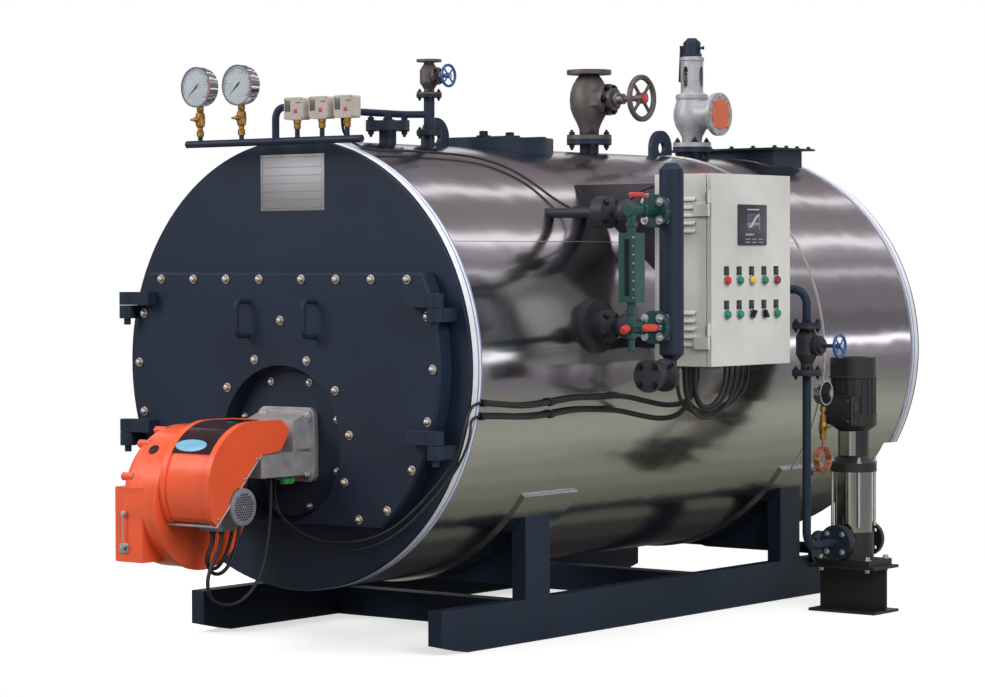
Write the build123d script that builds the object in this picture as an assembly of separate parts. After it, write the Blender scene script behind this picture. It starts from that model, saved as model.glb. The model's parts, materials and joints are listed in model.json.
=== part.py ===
"""Horizontal fire-tube steam boiler on a skid, with burner, fittings, cabinet and feed pump.

Millimetres. X points right for someone facing the burner end, Y runs back along the drum from the
front end plate, Z is up. Each piece is written with the origin moved to the floor, under the drum's
axis, at the middle of the front cross member.
"""
import os
from math import cos, radians, sin, sqrt, tan

from build123d import *

# Shared clearances
overrun = 40.0
running_gap = 0.05
seat_gap = 0.3
bolt_hole_radius = 9.0

# Drum, jacket and ends
shell_radius = 825.0
drum_clearance = 210.0
shell_length = 3128.0
jacket_thickness = 60.0
end_plate_thickness = 14.0
rim_width = 52.0
rim_rise = 3.0
rear_step_drop = 410.0
rear_step_depth = 110.0
axis_height = drum_clearance + shell_radius
shell_top = axis_height + shell_radius
rear_step_height = axis_height - rear_step_drop

# Smokebox and tube plate
smokebox_depth = 330.0
smokebox_wall = 12.0
furnace_radius = 300.0
tube_radius = 36.0
tube_pitch = 128.0
tube_depth = 60.0
tube_margin = 40.0
steam_space = 560.0

# Skid and saddles
rail_inset = 211.0
rail_width = 63.0
rail_height = 160.0
rail_front = 100.0
rail_setback = 150.0
toe_rise = 33.0
toe_length = 150.0
cross_member_y = 925.0
cross_member_width = 80.0
cross_member_height = 110.0
front_saddle_y = 671.0
rear_saddle_setback = 704.0
post_width = 150.0
pad_width = 330.0
pad_thickness = 10.0
pad_half_angle = 54.0
web_thickness = 14.0
web_rise = 40.0
rail_outer = shell_radius - rail_inset
rail_rear = shell_length - rail_setback
rear_saddle_y = shell_length - rear_saddle_setback
web_bottom = rail_height + web_rise

# Front door
door_margin = 80.0
door_top_rise = 340.0
door_bottom_drop = 577.0
door_thickness = 67.0
door_seal = 3.0
door_overlap = 55.0
door_edge_round = 8.0
burner_hole_radius = 288.0
ledge_radius = 235.0
ledge_thickness = 6.0
handle_x = 163.0
handle_rise = 108.0
handle_length = 127.0
handle_reach = 60.0
handle_radius = 10.0
handle_bend = 22.0
door_radius = shell_radius - door_margin
door_top = axis_height + door_top_rise
door_bottom = axis_height - door_bottom_drop
handle_bottom = axis_height + handle_rise
handle_top = handle_bottom + handle_length

# Door hinges
hinge_inset = 75.0
hinge_y = -100.0
knuckle_radius = 30.0
knuckle_height = 49.0
knuckle_gap = 2.0
upper_hinge_rise = 216.0
lower_hinge_drop = 265.0
hinge_pin_radius = 13.0
hinge_arm_length = 123.0
hinge_arm_thickness = 30.0
hinge_lug_width = 36.0
hinge_pin_tip = 24.0
hinge_x = shell_radius - hinge_inset
upper_hinge_z = axis_height + upper_hinge_rise
lower_hinge_z = axis_height - lower_hinge_drop

# Burner head and its plate
burner_drop = 287.0
burner_plate_radius = 265.0
burner_plate_thickness = 9.0
burner_flange_width = 270.0
burner_flange_thickness = 22.0
burner_flange_round = 30.0
flange_boss_radius = 24.0
flange_boss_rise = 10.0
head_rib_width = 12.0
head_rib_reach = 60.0
head_slot_height = 10.0
blast_tube_radius = 118.0
blast_tube_wall = 8.0
blast_tube_length = 255.0
head_half_width = 112.0
head_rise = 120.0
head_drop = 108.0
head_shelf_drop = 24.0
head_step_y = -129.0
head_end_y = -300.0
burner_z = axis_height - burner_drop
head_top = burner_z + head_rise
head_bottom = burner_z - head_drop
head_shelf_z = burner_z - head_shelf_drop

# Burner hood
hood_half_width = 120.0
hood_wall = 7.0
hood_recess = 7.0
hood_lip = 26.0
hood_round = 16.0
hood_crown_y = -345.0
hood_crown_drop = 140.0
hood_radius = 239.0
hood_end_angle = 205.0
hood_chin_y = -538.0
hood_chin_drop = 266.0
hood_brow_y = -200.0
hood_tip_y = -154.0
hood_tip_rise = 59.0
hood_heel_y = -203.0
hood_heel_drop = 11.0
hood_knee_y = -304.0
hood_band_rear = -235.0
hood_crown_z = burner_z - hood_crown_drop
hood_chin_z = burner_z - hood_chin_drop
hood_tip_z = burner_z + hood_tip_rise
hood_heel_z = burner_z - hood_heel_drop

# Fan scroll, air intake and motor
fan_y = -361.0
fan_drop = 203.0
fan_radius = 232.0
fan_growth = 48.0
fan_width = 190.0
fan_round = 40.0
fan_lip_width = 14.0
fan_lip_rise = 8.0
fan_boss_radius = 15.0
fan_boss_length = 52.0
fan_boss_angles = (108.0, 128.0, 158.0)
intake_reach = 225.0
intake_width = 150.0
intake_front = -590.0
intake_rear = -380.0
intake_rise = 67.0
intake_drop = 202.0
intake_round = 26.0
motor_y = -405.0
motor_drop = 202.0
motor_radius = 66.5
motor_end = 122.0
motor_cover_depth = 16.0
motor_box_width = 100.0
motor_box_length = 90.0
motor_box_drop = 88.0
fan_z = burner_z - fan_drop
intake_top = fan_z + intake_rise
intake_bottom = fan_z - intake_drop
motor_z = burner_z - motor_drop

# Instrument manifold
manifold_y = -90.0
manifold_drop = 10.0
manifold_left = -442.0
manifold_right = 410.0
manifold_radius = 13.5
riser_height = 125.0
riser_turn_y = 640.0
riser_bend = 45.0
gauge_left_x = -375.0
gauge_right_x = -168.0
gauge_rise = 210.0
gauge_radius = 75.0
gauge_depth = 50.0
gauge_bezel = 6.0
gauge_stem_radius = 9.0
gauge_cock_radius = 16.0
gauge_cock_rise = 75.0
gauge_cock_height = 40.0
switch_count = 3
switch_first_x = 105.0
switch_pitch = 118.5
switch_width = 88.0
switch_depth = 45.0
switch_rise = 75.0
switch_height = 80.0
switch_round = 8.0
manifold_z = shell_top - manifold_drop
riser_z = manifold_z + riser_height
gauge_z = manifold_z + gauge_rise
gauge_cock_z = manifold_z + gauge_cock_rise
switch_bottom = manifold_z + switch_rise

# Spare nozzle, lifting lugs and manhole
spare_x = 50.0
spare_y = 484.0
spare_neck_radius = 32.5
spare_flange_radius = 82.5
spare_flange_thickness = 18.0
spare_rise = 83.0
plug_radius = 13.0
plug_height = 30.0
lug_front_y = 830.0
lug_rear_setback = 768.0
lug_width = 150.0
lug_thickness = 20.0
lug_rise = 110.0
lug_hole_radius = 26.0
manhole_y = 1220.0
manhole_radius = 225.0
manhole_wall = 24.0
manhole_rise = 38.0
manhole_cover_drop = 18.0
manhole_cover_gap = 4.0
yoke_height = 26.0
yoke_width = 34.0
yoke_spacing = 170.0
spare_top = shell_top + spare_rise
lug_rear_y = shell_length - lug_rear_setback
lug_top = shell_top + lug_rise
manhole_top = shell_top + manhole_rise
manhole_cover_top = manhole_top - manhole_cover_drop

# Globe valves, shares of each valve's own flange and height
flange_thickness_share = 0.2
valve_neck_share = 0.42
valve_belly_share = 0.74
bonnet_share = 0.5
bonnet_flange_share = 0.7
stem_share = 0.13
wheel_rim_share = 0.11
wheel_hub_share = 0.24
wheel_spokes = 4

# Main steam valve
steam_lead = 67.0
steam_flange_radius = 92.5
steam_nozzle_rise = 55.0
steam_valve_height = 288.0
steam_stem_rise = 163.0
steam_reach = 265.0
steam_wheel_radius = 96.0
steam_bolt_circle_radius = 72.5
steam_seat_z = shell_top + steam_nozzle_rise
steam_top_z = steam_seat_z + steam_valve_height
steam_stem_z = steam_seat_z + steam_stem_rise

# Vent valve
vent_x = 75.0
vent_y = 702.0
vent_flange_radius = 48.0
vent_nozzle_rise = 45.0
vent_spool_height = 145.0
vent_valve_height = 135.0
vent_stem_rise = 70.0
vent_reach = 95.0
vent_wheel_radius = 45.0
vent_seat_z = shell_top + vent_nozzle_rise
vent_valve_z = vent_seat_z + vent_spool_height
vent_top_z = vent_valve_z + vent_valve_height
vent_stem_z = vent_valve_z + vent_stem_rise

# Safety valve
safety_setback = 524.0
safety_flange_radius = 83.0
safety_nozzle_rise = 45.0
safety_flange_thickness = 20.0
safety_neck_radius = 42.0
safety_body_radius = 64.0
safety_body_height = 215.0
safety_outlet_rise = 140.0
safety_outlet_x = 147.0
safety_outlet_radius = 92.5
safety_bore_radius = 50.0
safety_bonnet_radius = 47.0
safety_bonnet_height = 176.0
safety_window_width = 46.0
safety_window_margin = 32.0
safety_spring_radius = 30.0
safety_cap_radius = 38.0
safety_cap_height = 82.0
safety_y = shell_length - safety_setback
steam_y = (manhole_y + safety_y) / 2 - steam_lead
safety_seat_z = shell_top + safety_nozzle_rise
safety_body_top = safety_seat_z + safety_body_height
safety_outlet_z = safety_seat_z + safety_outlet_rise
safety_bonnet_top = safety_body_top + safety_bonnet_height
safety_top = safety_bonnet_top + safety_cap_height

# Flue box
flue_half_width = 300.0
flue_length = 318.0
flue_rise = 45.0
flue_flange = 42.0
flue_flange_thickness = 9.0
flue_wall = 10.0
flue_rear = shell_length
flue_front = flue_rear - flue_length
flue_top = shell_top + flue_rise

# Level column and gauge glass
column_standoff = 335.0
column_y = 755.0
column_radius = 44.5
column_rise = 731.0
column_height = 713.0
upper_branch_rise = 557.0
lower_branch_rise = 139.0
branch_radius = 19.0
branch_flange_radius = 60.0
branch_flange_thickness = 17.0
branch_valve_standoff = 45.0
branch_valve_length = 160.0
branch_valve_radius = 46.0
rosette_radius = 100.0
rosette_standoff = 17.0
cock_reach = 105.0
cock_body_radius = 21.0
cock_drop_radius = 17.0
glass_reach = 145.0
glass_half_width = 36.0
glass_half_depth = 30.0
glass_top_drop = 80.0
glass_bottom_rise = 91.0
glass_slot_width = 18.0
glass_slot_depth = 10.0
glass_slot_margin = 22.0
lever_reach = 54.0
lever_length = 96.0
lever_width = 20.0
lever_thickness = 9.0
lever_post_radius = 10.0
lever_post_height = 26.0
lever_pin_radius = 5.0
drain_drop = 53.0
drain_bend = 26.0
drain_reach = 35.0
drain_valve_length = 120.0
column_x = shell_radius + column_standoff
column_top = axis_height + column_rise
column_bottom = column_top - column_height
upper_branch_z = axis_height + upper_branch_rise
lower_branch_z = axis_height + lower_branch_rise
branch_valve_start = shell_radius + branch_valve_standoff
rosette_reach = shell_radius + rosette_standoff
cock_flange_y = column_y - cock_reach
glass_y = cock_flange_y - glass_reach
glass_top = upper_branch_z - glass_top_drop
glass_bottom = lower_branch_z + glass_bottom_rise
lever_pivot_y = cock_flange_y - lever_reach
drain_z = column_bottom - drain_drop
drain_flange_y = column_y - drain_reach

# Control cabinet
cabinet_standoff = 175.0
cabinet_depth = 250.0
cabinet_left = 880.0
cabinet_width = 533.0
cabinet_drop = 9.0
cabinet_height = 705.0
cabinet_wall = 6.0
cabinet_door_thickness = 20.0
cabinet_door_gap = 4.0
cabinet_hinge_radius = 6.0
cabinet_hinge_pin = 3.0
cabinet_hinge_length = 46.0
cabinet_hinge_inset = 110.0
louvre_count = 5
louvre_length = 138.0
louvre_height = 7.0
louvre_pitch = 29.0
louvre_upper_drop = 99.0
louvre_lower_rise = 190.0
bracket_width = 40.0
bracket_inset = 80.0
bracket_upper_drop = 131.0
bracket_lower_rise = 84.0
display_width = 190.0
display_height = 150.0
display_drop = 186.0
display_rise = 8.0
button_count = 5
button_pitch = 84.0
button_radius = 15.0
button_rise = 16.0
button_upper_rise = 314.0
button_lower_rise = 189.0
cabinet_back = shell_radius + cabinet_standoff
cabinet_front = cabinet_back + cabinet_depth
cabinet_right = cabinet_left + cabinet_width
cabinet_bottom = axis_height - cabinet_drop
cabinet_top = cabinet_bottom + cabinet_height
louvre_upper_z = cabinet_top - louvre_upper_drop
louvre_lower_z = cabinet_bottom + louvre_lower_rise
bracket_upper_z = cabinet_top - bracket_upper_drop
bracket_lower_z = cabinet_bottom + bracket_lower_rise
display_centre_z = cabinet_top - display_drop
button_upper_z = cabinet_bottom + button_upper_rise
button_lower_z = cabinet_bottom + button_lower_rise

# Feed pump
feed_standoff = 237.0
pump_distance = 777.0
stand_length = 307.0
stand_width = 190.0
stand_height = 190.0
stand_flange = 12.0
stand_web = 10.0
foot_length = 250.0
foot_width = 180.0
foot_thickness = 24.0
port_rise = 96.0
pump_base_radius = 82.0
pump_base_rise = 36.0
port_flange_radius = 70.0
port_flange_thickness = 20.0
port_reach = 125.0
port_neck_radius = 34.0
port_bolt_circle_radius = 50.0
sleeve_radius = 76.0
sleeve_height = 243.0
head_flange_radius = 93.0
head_flange_height = 36.0
lantern_radius = 62.0
lantern_height = 192.0
lantern_window_width = 60.0
lantern_window_margin = 27.0
pump_motor_radius = 94.5
pump_motor_height = 182.0
fan_cover_height = 84.0
terminal_box_width = 130.0
terminal_box_reach = 126.0
terminal_box_height = 113.0
pump_fin_count = 20
pump_fin_depth = 7.0
pump_fin_width = 6.0
feed_x = shell_radius + feed_standoff
pump_y = cabinet_right + pump_distance
pump_port_z = stand_height + port_rise
pump_base_top = pump_port_z + pump_base_rise
sleeve_top = pump_base_top + sleeve_height
pump_head_top = sleeve_top + head_flange_height
lantern_top = sleeve_top + lantern_height
lantern_window_bottom = pump_head_top + lantern_window_margin
lantern_window_top = lantern_top - lantern_window_margin
pump_motor_top = lantern_top + pump_motor_height
fan_cover_top = pump_motor_top + fan_cover_height
terminal_box_top = lantern_top + terminal_box_height

# Feed line and its gauge
feed_run = 355.0
feed_pipe_radius = 17.0
feed_bend = 60.0
feed_inlet_rise = 264.0
feed_flange_radius = 58.0
feed_valve_drop = 142.0
feed_valve_height = 185.0
feed_stem_rise = 107.0
feed_reach = 150.0
feed_wheel_radius = 48.5
siphon_reach = 120.0
siphon_rise = 337.0
siphon_radius = 46.0
siphon_tube_radius = 5.0
siphon_boss_radius = 11.0
siphon_boss_reach = 34.0
siphon_turns = 3
siphon_pitch = 9.0
feed_gauge_rise = 266.0
feed_gauge_radius = 50.0
feed_gauge_depth = 36.0
feed_cock_rise = 80.0
feed_cock_height = 97.0
feed_cock_radius = 13.0
feed_y = pump_y - feed_run
feed_inlet_z = axis_height + feed_inlet_rise
feed_valve_top = feed_inlet_z - feed_valve_drop
feed_valve_z = feed_valve_top - feed_valve_height
feed_stem_z = feed_valve_z + feed_stem_rise
siphon_y = feed_y + siphon_reach
siphon_z = pump_port_z + siphon_rise
feed_gauge_z = siphon_z + feed_gauge_rise
feed_cock_bottom = siphon_z + feed_cock_rise
feed_cock_top = feed_cock_bottom + feed_cock_height

# Blow-down pipe
blow_setback = 503.0
blow_drop = 15.0
blow_radius = 24.0
blow_bend = 70.0
blow_standoff = 26.0
blow_flange_radius = 75.0
blow_flange_thickness = 18.0
blow_bolt_circle_radius = 55.0
blow_y = shell_length - blow_setback
blow_z = axis_height - shell_radius - blow_drop
blow_end_x = rail_outer + blow_standoff

# Cables: radii, clips and hand-chosen routes
cord_bend_share = 0.45
conduit_radius = 10.0
clip_radius = 15.0
clip_length = 22.0
lead_radius = 5.0
lead_tail = 62.0
lead_gap = 1.5
cable_radius = 7.0
upper_conduit = [(72, -8.3), (173, -8.9), (322, -9.8), (470, -9.2), (620, -8.3), (778, -8.7)]
upper_conduit_end = [
    (832, 905, 912), (872, 1000, 888), (942, 1058, 868), (1012, 1088, 888), (1043, 1098, 952),
    (1043, 1098, 1026),
]
lower_conduit = [(74, -11.6), (183, -11.9), (333, -12.6), (481, -12.3), (631, -11.4), (789, -11.9)]
lower_conduit_end = [
    (828, 892, 856), (864, 978, 834), (934, 1024, 820), (1006, 1042, 840), (1040, 1046, 902),
    (1043, 1046, 965), (1043, 1046, 1026),
]
upper_lead = [
    (-60, -80, 640), (-60, -80, 590), (-35, -92, 545), (20, -95, 490), (95, -95, 440),
    (200, -95, 408), (320, -95, 404), (440, -92, 424), (545, -80, 470), (635, -62, 545),
    (710, -50, 622), (776, -42, 700), (817, -40, 780), (838, -38, 850),
]
lower_lead = [
    (-30, -70, 640), (-30, -70, 585), (-12, -84, 520), (45, -86, 455), (130, -86, 402),
    (240, -86, 376), (355, -86, 376), (465, -84, 402), (565, -72, 455), (652, -58, 530),
    (727, -48, 606), (794, -40, 684), (832, -34, 752), (842, -20, 812),
]
top_cable = [
    (318, -90, 1925), (318, -90, 1886), (317, -62, 1856), (312, 0, 1830), (306, 80, 1816),
    (300, 180, 1817.5), (296, 290, 1820), (298, 400, 1818.5), (305, 510, 1815.5), (316, 610, 1811),
    (345, 700, 1798), (410, 765, 1766), (495, 800, 1710), (578, 830, 1644), (650, 865, 1600),
    (735, 895, 1590), (820, 912, 1612), (890, 922, 1662), (945, 925, 1690), (1000, 925, 1690),
]
burner_cables = [
    [
        (30, -420, 458), (30, -420, 410), (26, -462, 350), (20, -488, 285), (18, -470, 218),
        (22, -400, 186), (28, -315, 196), (36, -248, 248), (46, -212, 330), (54, -198, 430),
        (58, -190, 540), (58, -190, 640),
    ],
    [
        (-5, -430, 458), (-5, -430, 412), (-12, -452, 360), (-20, -432, 312), (-26, -378, 292),
        (-30, -322, 316), (-32, -282, 372), (-30, -262, 450), (-24, -250, 540), (-24, -250, 640),
    ],
    [
        (-38, -388, 458), (-38, -388, 415), (-48, -416, 366), (-58, -402, 322), (-66, -352, 308),
        (-72, -302, 336), (-76, -264, 396), (-76, -242, 470), (-74, -230, 550), (-74, -230, 640),
    ],
]
loop_places = [
    (1080, 905, 1385, 838), (1098, 925, 1315, 850), (1116, 912, 1245, 826), (1134, 935, 1180, 858),
    (1152, 918, 1120, 872),
]


def block(low, high):
    """A box between two opposite corners."""
    size = Vector(high) - Vector(low)
    return Pos(*low) * Box(size.X, size.Y, size.Z, align=(Align.MIN, Align.MIN, Align.MIN))


def rod(start, end, radius):
    """A round bar from one point to another."""
    along = Vector(end) - Vector(start)
    base = Plane(origin=start, z_dir=along)
    return base * Cylinder(radius, along.length, align=(Align.CENTER, Align.CENTER, Align.MIN))


def pipe(points, radius, bend):
    """A bent pipe: straight runs joined by arcs of one radius."""
    path = FilletPolyline(*points, radius=bend)
    return sweep(Plane(origin=path @ 0, z_dir=path % 0) * Circle(radius), path)


def turned(profile, place):
    """A turned shape: a closed outline of (radius, height) points swung about the height axis."""
    return place * revolve(make_face(Plane.XZ * Polyline(*profile, close=True)), Axis.Z)


def ring(radius, thickness, place):
    """A ring of eight-sided section about an axis, as thick as a round bar of that radius."""
    half = thickness / 2
    section = [
        (radius - thickness, -half),
        (radius - half, -thickness),
        (radius + half, -thickness),
        (radius + thickness, -half),
        (radius + thickness, half),
        (radius + half, thickness),
        (radius - half, thickness),
        (radius - thickness, half),
    ]
    return turned(section, place)


def cord(points, radius):
    """A cable: straight runs joined by arcs as large as the runs allow."""
    spots = [Vector(*point) for point in points]
    bends = []
    for before, here, after in zip(spots, spots[1:], spots[2:]):
        turn = (here - before).get_angle(after - here)
        run = min((here - before).length, (after - here).length)
        bends.append(cord_bend_share * run / tan(radians(turn) / 2))
    print(f"cable of radius {radius}: tightest bend {min(bends):.0f}")
    path = FilletPolyline(*spots, radius=bends)
    return sweep(Plane(origin=path @ 0, z_dir=path % 0) * Circle(radius), path)


def front_sketch_plane(y):
    """A plane facing the burner end, with its own X and Y along the boiler's X and Z."""
    return Plane(origin=(0, y, 0), x_dir=(1, 0, 0), z_dir=(0, -1, 0))


def side_sketch_plane(x):
    """A plane facing right, with its own X and Y along the boiler's Y and Z."""
    return Plane(origin=(x, 0, 0), x_dir=(0, 1, 0), z_dir=(1, 0, 0))


def drum_rod(radius, start, end):
    """A cylinder about the drum's axis between two distances from the front plate."""
    return rod((0, start, axis_height), (0, end, axis_height), radius)


def shell_side_at(z):
    """Distance of the jacket's side from the axis at a height."""
    return sqrt(shell_radius**2 - (z - axis_height) ** 2)


shell_space = drum_rod(shell_radius, -overrun, shell_length + overrun)


def save(name, *solids):
    """Write one node, with its origin at the front cross member's middle, on the floor."""
    shape = solids[0] if len(solids) == 1 else Compound(children=list(solids))
    export_step(Pos(0, -cross_member_y, 0) * shape, f"parts/{name}.step")


def bolt_circle(centre, direction, circle_radius, depth, count=4):
    """Through holes on a circle, as cutters, half a pitch off the horizontal."""
    place = Plane(origin=centre, x_dir=(0, 1, 0) if abs(direction.X) else (1, 0, 0), z_dir=direction)
    start = 180 / count
    spots = PolarLocations(circle_radius, count, start_angle=start)
    return [place * hole for hole in spots * Cylinder(bolt_hole_radius, depth)]


def skid_rail(side):
    """A rail of the skid with its toes bevelled underneath at both ends."""
    toe = [
        (rail_front, toe_rise),
        (rail_front, rail_height),
        (rail_rear, rail_height),
        (rail_rear, toe_rise),
        (rail_rear - toe_length, 0),
        (rail_front + toe_length, 0),
    ]
    inner = rail_outer - rail_width
    face = make_face(side_sketch_plane(inner) * Polyline(*toe, close=True))
    rail = extrude(face, rail_width, dir=(1, 0, 0))
    return rail if side > 0 else mirror(rail, Plane.YZ)


def cross_member(y):
    """A bar between the rails, standing on the floor."""
    inner = rail_outer - rail_width
    half = cross_member_width / 2
    return block((-inner, y - half, 0), (inner, y + half, cross_member_height))


def saddle(y):
    """Posts on the rails, a web between them and a wear pad wrapped round the jacket."""
    inner = rail_outer - rail_width
    reach = axis_height - (shell_radius + pad_thickness) * sin(radians(90 - pad_half_angle))
    body = block((-inner, y - web_thickness / 2, web_bottom), (inner, y + web_thickness / 2, axis_height))
    for side in (-1, 1):
        low_x, high_x = sorted((side * inner, side * rail_outer))
        body += block((low_x, y - post_width / 2, rail_height), (high_x, y + post_width / 2, axis_height))
    wrap = drum_rod(shell_radius + pad_thickness, y - pad_width / 2, y + pad_width / 2)
    below = block((-shell_radius, y - pad_width, 0), (shell_radius, y + pad_width, reach))
    body = body & block((-rail_outer, y - pad_width, 0), (rail_outer, y + pad_width, reach))
    return body + (wrap & below) - shell_space


def tube_places():
    """Fire-tube centres: a staggered grid round the furnace and under the steam space."""
    places = []
    rows = int(2 * shell_radius / tube_pitch)
    inside = shell_radius - jacket_thickness - tube_radius - tube_margin
    clear = furnace_radius + tube_radius + tube_margin
    for row in range(-rows, rows):
        z = axis_height + row * tube_pitch * sin(radians(60))
        for step in range(-rows, rows):
            x = (step + (row % 2) / 2) * tube_pitch
            in_drum = sqrt(x**2 + (z - axis_height) ** 2) < inside
            off_furnace = sqrt(x**2 + (z - burner_z) ** 2) > clear
            if in_drum and off_furnace and z < axis_height + shell_radius - steam_space:
                places.append((x, z))
    return places


def rear_step():
    """The notch under the rear end, where the lower part of the drum stops short."""
    return block(
        (-shell_radius - overrun, shell_length - rear_step_depth, 0),
        (shell_radius + overrun, shell_length + overrun, rear_step_height),
    )


def drum():
    """The pressure vessel behind the smokebox, its front face drilled for furnace and fire tubes."""
    radius = shell_radius - jacket_thickness
    body = drum_rod(radius, smokebox_depth, shell_length - end_plate_thickness) - rear_step()
    bores = [
        rod(
            (0, smokebox_depth - overrun, burner_z), (0, smokebox_depth + tube_depth, burner_z),
            furnace_radius,
        ),
    ]
    for x, z in tube_places():
        bores.append(
            rod((x, smokebox_depth - overrun, z), (x, smokebox_depth + tube_depth, z), tube_radius)
        )
    return body - bores


def smokebox():
    """The ring wall between the front end plate and the tube plate."""
    outer = shell_radius - jacket_thickness
    wall = drum_rod(outer, end_plate_thickness, smokebox_depth)
    return wall - drum_rod(outer - smokebox_wall, 0, smokebox_depth + overrun)


def door_outline(margin):
    """The door's outline, round at the sides and flat at top and bottom, grown by a margin."""
    radius = door_radius + margin
    low, high = door_bottom - margin, door_top + margin
    band = Pos(0, (low + high) / 2) * Rectangle(2 * radius, high - low)
    return (Pos(0, axis_height) * Circle(radius)) & band


def front_plate():
    """The front end plate, open behind the door."""
    plate = drum_rod(shell_radius, 0, end_plate_thickness)
    opening = front_sketch_plane(end_plate_thickness + overrun) * door_outline(-door_overlap)
    return plate - extrude(opening, end_plate_thickness + 2 * overrun)


def jacket():
    """The insulated jacket in bright sheet, with a raised trim band at each end."""
    end = shell_length - end_plate_thickness
    body = drum_rod(shell_radius, end_plate_thickness, end)
    body += drum_rod(shell_radius + rim_rise, end_plate_thickness, end_plate_thickness + rim_width)
    body += drum_rod(shell_radius + rim_rise, end - rim_width, end)
    body -= drum_rod(shell_radius - jacket_thickness, 0, shell_length)
    return body - rear_step()


def rear_plate():
    """The rear end plate over the drum and the jacket's edge, stopping at the lower step."""
    return drum_rod(shell_radius, shell_length - end_plate_thickness, shell_length) - rear_step()


def front_door():
    """The lined front door with a stepped hole for the burner plate."""
    back = -door_seal
    slab = extrude(front_sketch_plane(back) * door_outline(0), door_thickness)
    front_edges = slab.faces().sort_by(Axis.Y)[0].edges()
    slab = chamfer(front_edges, door_edge_round)
    ledge_front = back - ledge_thickness
    slab -= rod(
        (0, ledge_front, burner_z), (0, back - door_thickness - overrun, burner_z), burner_hole_radius,
    )
    return slab - rod((0, overrun, burner_z), (0, ledge_front - overrun, burner_z), ledge_radius)


def door_handle(x):
    """A bent round bar welded on the door."""
    face = -door_seal - door_thickness
    out = face - handle_reach
    points = [
        (x, face, handle_bottom), (x, out, handle_bottom), (x, out, handle_top), (x, face, handle_top),
    ]
    return pipe(points, handle_radius, handle_bend)


def door_knuckle(side, z):
    """The door's half of a hinge: a knuckle on an arm welded to the door's face."""
    low = z + knuckle_gap / 2
    high = low + knuckle_height
    centre_x = side * hinge_x
    face = -door_seal - door_thickness
    barrel = rod((centre_x, hinge_y, low), (centre_x, hinge_y, high), knuckle_radius)
    low_x, high_x = sorted((centre_x, centre_x - side * hinge_arm_length))
    arm = block((low_x, hinge_y - hinge_arm_thickness / 2, low), (high_x, face, high))
    knuckle = arm + barrel
    arm_room = drum_rod(door_radius, face, 0)
    knuckle -= arm_room
    if side > 0:
        knuckle -= rod((centre_x, hinge_y, low - overrun), (centre_x, hinge_y, high + overrun),
                       hinge_pin_radius + running_gap)
    return knuckle


def fixed_knuckle(side, z):
    """The end plate's half of a hinge: a knuckle on a lug welded to the plate, with the pin's tip."""
    high = z - knuckle_gap / 2
    low = high - knuckle_height
    centre_x = side * hinge_x
    half = hinge_lug_width / 2
    lug = block((centre_x - half, hinge_y, low), (centre_x + half, 0, high))
    lug += rod((centre_x, hinge_y, low), (centre_x, hinge_y, high), knuckle_radius)
    lug += rod((centre_x, hinge_y, low), (centre_x, hinge_y, low - hinge_pin_tip), hinge_pin_radius)
    if side > 0:
        lug += rod(
            (centre_x, hinge_y, low), (centre_x, hinge_y, z + knuckle_gap + knuckle_height),
            hinge_pin_radius,
        )
    return lug


plate_back = -door_seal - ledge_thickness
plate_face = plate_back - burner_plate_thickness


def burner_plate():
    """The round plate that closes the door's hole and carries the burner."""
    return rod((0, plate_back, burner_z), (0, plate_face, burner_z), burner_plate_radius)


def blast_tube():
    """The burner's flame tube, reaching into the smokebox."""
    start, end = (0, plate_back, burner_z), (0, plate_back + blast_tube_length, burner_z)
    past = (0, plate_back + blast_tube_length + overrun, burner_z)
    return rod(start, end, blast_tube_radius) - rod(start, past, blast_tube_radius - blast_tube_wall)


def burner_head():
    """The cast head: a bossed square flange on the burner plate and a body with a shelf under the hood."""
    flange_front = plate_face - burner_flange_thickness
    square = Pos(0, burner_z) * RectangleRounded(
        burner_flange_width, burner_flange_width, burner_flange_round,
    )
    body = extrude(front_sketch_plane(plate_face) * square, burner_flange_thickness)
    corner = burner_flange_width / 2 - burner_flange_round
    for x, z in [(x, z) for x in (-corner, corner) for z in (burner_z - corner, burner_z + corner)]:
        body += rod((x, flange_front, z), (x, flange_front - flange_boss_rise, z), flange_boss_radius)
    side = [
        (flange_front, head_bottom),
        (flange_front, head_top),
        (head_step_y, head_top - burner_flange_round),
        (head_step_y, head_shelf_z),
        (head_end_y, head_shelf_z),
        (head_end_y, head_bottom),
    ]
    face = make_face(side_sketch_plane(-hood_half_width) * Polyline(*side, close=True))
    body += extrude(face, head_half_width + hood_half_width, dir=(1, 0, 0))
    for z in (head_top - burner_flange_round, burner_z, head_bottom + burner_flange_round):
        low, high = z - head_rib_width / 2, z + head_rib_width / 2
        rib = [
            (corner, flange_front), (corner, flange_front - flange_boss_rise),
            (head_half_width, flange_front - head_rib_reach),
        ]
        rib.append((head_half_width, flange_front))
        body += Pos(0, 0, low) * extrude(make_face(Polyline(*rib, close=True)), high - low, dir=(0, 0, 1))
    slot_low = burner_z - head_shelf_drop
    return body - block(
        (head_half_width - head_rib_width, flange_front - head_rib_reach, slot_low),
        (head_half_width + overrun, flange_front, slot_low + head_slot_height),
    )


def hood_outline():
    """The hood from the side: an arc over the fan, a flat brow, a tip over the head and a slant beneath."""
    centre = Vector(hood_crown_y, hood_crown_z)
    crown = CenterArc(centre, hood_radius, 90, hood_end_angle - 90)
    under = Polyline(
        crown @ 1,
        (hood_chin_y, hood_chin_z),
        (hood_knee_y, head_shelf_z),
        (hood_heel_y, hood_heel_z),
        (hood_tip_y, hood_tip_z),
        (hood_brow_y, hood_crown_z + hood_radius),
        crown @ 0,
    )
    outline = make_face([*crown.edges(), *under.edges()])
    corners = [
        v
        for v in outline.vertices() if abs(
            v.X - hood_crown_y
        ) > hood_round and v.X > hood_chin_y - hood_wall
    ]
    return fillet(corners, hood_round)


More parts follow.
